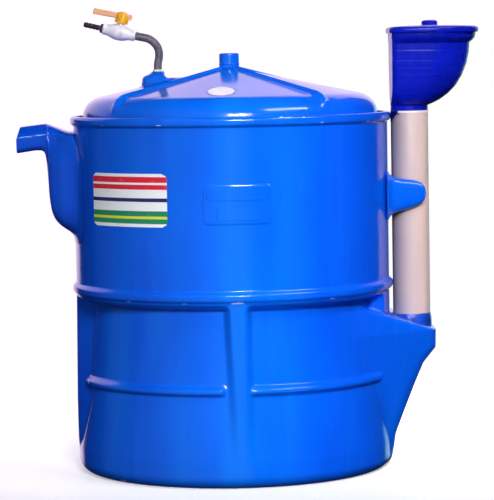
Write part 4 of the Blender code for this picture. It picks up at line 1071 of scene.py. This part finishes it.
def wall_patch(name, radius, turn, low, high, corner, thickness, counts=(40, 22), bevel=0.0):
    """A sheet with rounded corners on the tank's round wall. turn is its two sides, in degrees from +X."""
    u = np.linspace(-1.0, 1.0, counts[0])
    v = np.linspace(-1.0, 1.0, counts[1])
    if bevel:
        u = np.concatenate([[-1.0, -1.0 + bevel * 0.5], u[1:-1] * (1.0 - bevel), [1.0 - bevel * 0.5, 1.0]])
        v = np.concatenate([[-1.0, -1.0 + bevel], v[1:-1] * (1.0 - 2.0 * bevel), [1.0 - bevel, 1.0]])
    wide = math.radians(turn[1] - turn[0]) * radius / 2.0
    tall = (high - low) / 2.0
    beyond = np.clip(np.abs(v) * tall - tall + corner, 0.0, corner)
    half = wide - corner + np.sqrt(np.maximum(corner**2 - beyond**2, 0.0))
    angle = math.radians((turn[0] + turn[1]) / 2.0) + u[None, :] * half[:, None] / radius
    lift = np.full(angle.shape, thickness)
    if bevel:
        lift[0] = lift[-1] = lift[:, 0] = lift[:, -1] = 0.0002
    rows = ring_rows(radius + lift, angle, (low + high) / 2.0 + v[:, None] * tall)
    normals = ring_rows(np.ones(angle.shape), angle, 0.0)
    return sheet_block(name, rows, (lift + 0.0008)[..., None], normals)


def oval_patch(name, long, wide, lift, thickness):
    """An oval sheet on the front of the roof's cone."""
    turn = np.linspace(0.0, math.tau, 73)
    share = np.linspace(0.02, 1.0, 9)[:, None]
    x = OVAL_AT[0] + share * wide * np.cos(turn)
    y = OVAL_AT[1] + share * long * np.sin(turn)
    r = np.hypot(x, y)
    slope = math.atan(ROOF_FALL)
    normals = np.stack([x / r * math.sin(slope), y / r * math.sin(slope), np.full(r.shape, math.cos(slope))], axis=-1)
    rows = np.stack([x, y, roof_height(r)], axis=-1) + normals * lift
    return rows, normals, thickness, name


OVAL_AT = (-0.022, -0.316)


def oval_disc(name, long, wide, lift):
    """A flat oval with a rim that goes into the roof, made from a fan of rings."""
    rows, normals, _, _ = oval_patch(name, long, wide, lift, 0.0)
    rings = [rows[i, :-1] for i in range(len(rows) - 1, -1, -1)]
    foot = rows[-1, :-1] - normals[-1, :-1] * (lift + 0.0006)
    return skin(name, np.array([foot, *rings]), smooth=30.0)


def paint_run():
    """A run of dark paint on the pipe, just under the hopper's neck on the side towards the tank."""
    turn = np.radians(np.linspace(176.0, 233.0, 40))
    drop = 0.030 - 0.020 * smoothstep((np.degrees(turn) - 196.0) / 34.0) + 0.004 * np.sin(turn * 41.0)
    share = np.linspace(0.0, 1.0, 12)[:, None]
    rows = np.empty((12, 40, 3))
    lift = 0.0013 * np.sqrt(np.clip(1.0 - share**4, 0.0, 1.0)) * np.sin(np.linspace(0.12, math.pi - 0.12, 40)) ** 0.4 + 0.0002
    rows[..., 0] = PIPE_AT + (PIPE_R + lift) * np.cos(turn)
    rows[..., 1] = (PIPE_R + lift) * np.sin(turn)
    rows[..., 2] = PIPE_TOP - 0.0005 - drop * share
    normals = np.stack([np.cos(turn), np.sin(turn), np.zeros(40)], axis=-1)[None].repeat(12, axis=0)
    return sheet_block("neck_paint_run", rows[::-1], (lift[::-1] + 0.0004)[..., None], normals)


ready(wall_patch("banded_label", TANK_R, (-148.0, -112.6), LABEL_LOW, LABEL_HIGH, 0.016, 0.0007), "digester", label_print)
ready(
    wall_patch("blank_plaque", TANK_R, (-99.6, -75.6), 0.744, 0.858, 0.014, 0.0016, (40, 24), 0.03), "digester", tank_blue
)
for bar, (turn, low, high) in enumerate((((-98.4, -76.8), 0.812, 0.846), ((-95.0, -78.6), 0.756, 0.792))):
    ready(wall_patch(f"plaque_bar_{bar + 1}", TANK_R + 0.0010, turn, low, high, 0.010, 0.0022, (40, 24), 0.05), "digester", tank_blue)
ready(oval_disc("oval_label_border", 0.056, 0.041, 0.0006), "gas_holder", label_edge)
ready(oval_disc("oval_label", 0.0525, 0.0375, 0.0009), "gas_holder", label_white)
ready(paint_run(), "digester", run_blue)

for node, material in (("guide_sleeve", drum_blue), ("guide_post", post_steel)):
    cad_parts[node].data.materials.clear()
    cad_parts[node].data.materials.append(material)


# Camera, light and floor

CAMERA_AT = (0.043, -7.72, 1.22)
CAMERA_DOWN = 4.30
CAMERA_ROLL = -1.0


def camera():
    data = bpy.data.cameras.new("camera")
    data.sensor_width = 36.0
    data.lens = 188.4
    data.clip_end = 100.0
    obj = bpy.data.objects.new("camera", data)
    look = Matrix.Rotation(math.radians(90.0 - CAMERA_DOWN), 4, "X") @ Matrix.Rotation(math.radians(CAMERA_ROLL), 4, "Z")
    obj.matrix_world = Matrix.Translation(CAMERA_AT) @ look
    bpy.context.scene.collection.objects.link(obj)
    bpy.context.scene.camera = obj


def area_light(name, at, target, size, power, spread=180.0):
    data = bpy.data.lights.new(name, "AREA")
    data.shape = "RECTANGLE"
    data.size, data.size_y = size
    data.energy = power
    data.spread = math.radians(spread)
    obj = bpy.data.objects.new(name, data)
    obj.location = at
    obj.rotation_euler = (Vector(target) - Vector(at)).to_track_quat("-Z", "Y").to_euler()
    bpy.context.scene.collection.objects.link(obj)


DARK_SIDE = (0.012, 0.014, 0.03)
LILAC_WALL = (1.4, 1.08, 1.42)
LEFT_ROOM = (0.09, 0.13, 0.16)
NEAR_ROOM = (0.26, 0.28, 0.30)
FAR_LEFT = (1.25, 1.0, 1.3)
FAR_RIGHT = (0.55, 1.15, 1.30)


def toward(tree, place, direction, stops):
    """A ramp over how near a direction of the world is to the given one, by the cosine between them."""
    near = sockets(tree, "ShaderNodeVectorMath", {0: place, 1: direction}, operation="DOT_PRODUCT")
    return ramp_of(tree, near.outputs["Value"], stops)


def studio():
    """A pale floor, a bright wall behind that the gloss mirrors, a large softbox and a weak frontal light."""
    bpy.context.scene.view_settings.view_transform = "Standard"
    world = bpy.data.worlds.new("studio")
    bpy.context.scene.world = world
    world.use_nodes = True
    tree = world.node_tree
    place = sockets(tree, "ShaderNodeTexCoord").outputs["Generated"]
    high = sockets(tree, "ShaderNodeSeparateXYZ", {"Vector": place}).outputs["Z"]
    side = toward(tree, place, (1.0, 0.0, 0.0), ((0.0, grey(0)), (1.0, grey(1))))
    sides = ramp_of(tree, side, ((0.0, FAR_LEFT), (0.06, (1.0, 1.0, 1.0)), (0.14, (1.0, 1.0, 1.0)), (0.24, FAR_RIGHT)))
    left_room = toward(tree, place, (-0.766, -0.643, 0.0), ((0.40, grey(0)), (0.50, grey(1))))
    front_left = toward(tree, place, (-0.42, -0.9075, 0.0), ((0.45, LEFT_ROOM), (0.85, NEAR_ROOM)))
    sky = mixed(tree, left_room, DARK_SIDE, front_left)
    behind = toward(tree, place, (0.06, 0.998, 0.0), ((0.825, grey(0)), (0.85, grey(1))))
    above = toward(tree, place, (0.0, 0.0, -1.0), ((0.16, grey(1)), (0.26, grey(0))))
    behind = mixed(tree, 1.0, behind, above, "MULTIPLY")
    sky = mixed(tree, behind, sky, sides)
    wide = toward(tree, place, (-0.22, 0.9755, 0.0), ((0.42, grey(0)), (0.66, grey(1))))
    zone = ramp_of(tree, high, ((0.09, grey(0)), (0.16, grey(1)), (0.60, grey(1)), (0.66, grey(0))))
    sky = mixed(tree, mixed(tree, 1.0, wide, zone, "MULTIPLY"), sky, LILAC_WALL)
    tree.links.new(sky, tree.nodes["Background"].inputs["Color"])
    tree.nodes["Background"].inputs["Strength"].default_value = 1.0
    area_light("key_light", (0.60, -4.9, 2.6), (0.20, -0.4, 0.48), (1.4, 1.0), 15.5, 38.0)
    area_light("softbox", (2.70, -2.25, 3.9), (0.0, 0.0, 0.8), (2.4, 0.7), 108.0)
    area_light("strip_light", (-0.70, -4.3, 3.2), (-0.1, 0.0, 0.8), (3.0, 0.12), 1.6)
    area_light("fill_light", (-3.0, -3.8, 2.4), (0.0, 0.0, 0.6), (1.6, 1.6), 0.8)
    floor, tree, shader = plain_material("floor_paint", (0.86, 0.86, 0.86), 0.6)
    place = sockets(tree, "ShaderNodeTexCoord").outputs["Object"]
    tone = ramp_of(tree, noise_of(tree, place, 1.3, 3.0), ((0.3, grey(0.86)), (0.7, grey(0.90))))
    tree.links.new(tone, shader.inputs["Base Color"])
    shader.inputs["Emission Color"].default_value = (1.0, 1.0, 1.0, 1.0)
    away = sockets(tree, "ShaderNodeSeparateXYZ", {"Vector": place}).outputs["Y"]
    glow = sockets(tree, "ShaderNodeMapRange", {
        "Value": away, "From Min": -0.9, "From Max": 0.9, "To Min": 0.04, "To Max": 0.85,
    })
    tree.links.new(glow.outputs["Result"], shader.inputs["Emission Strength"])
    points = np.array([(-3.0, -3.2, 0.0), (3.0, -3.2, 0.0), (3.0, 2.2, 0.0), (-3.0, 2.2, 0.0)])
    ground = object_of("studio_floor", points, [np.array([[0, 1, 2, 3]])])
    ground.data.materials.append(floor)
    ground.visible_glossy = False
    ground.visible_diffuse = False


camera()
studio()
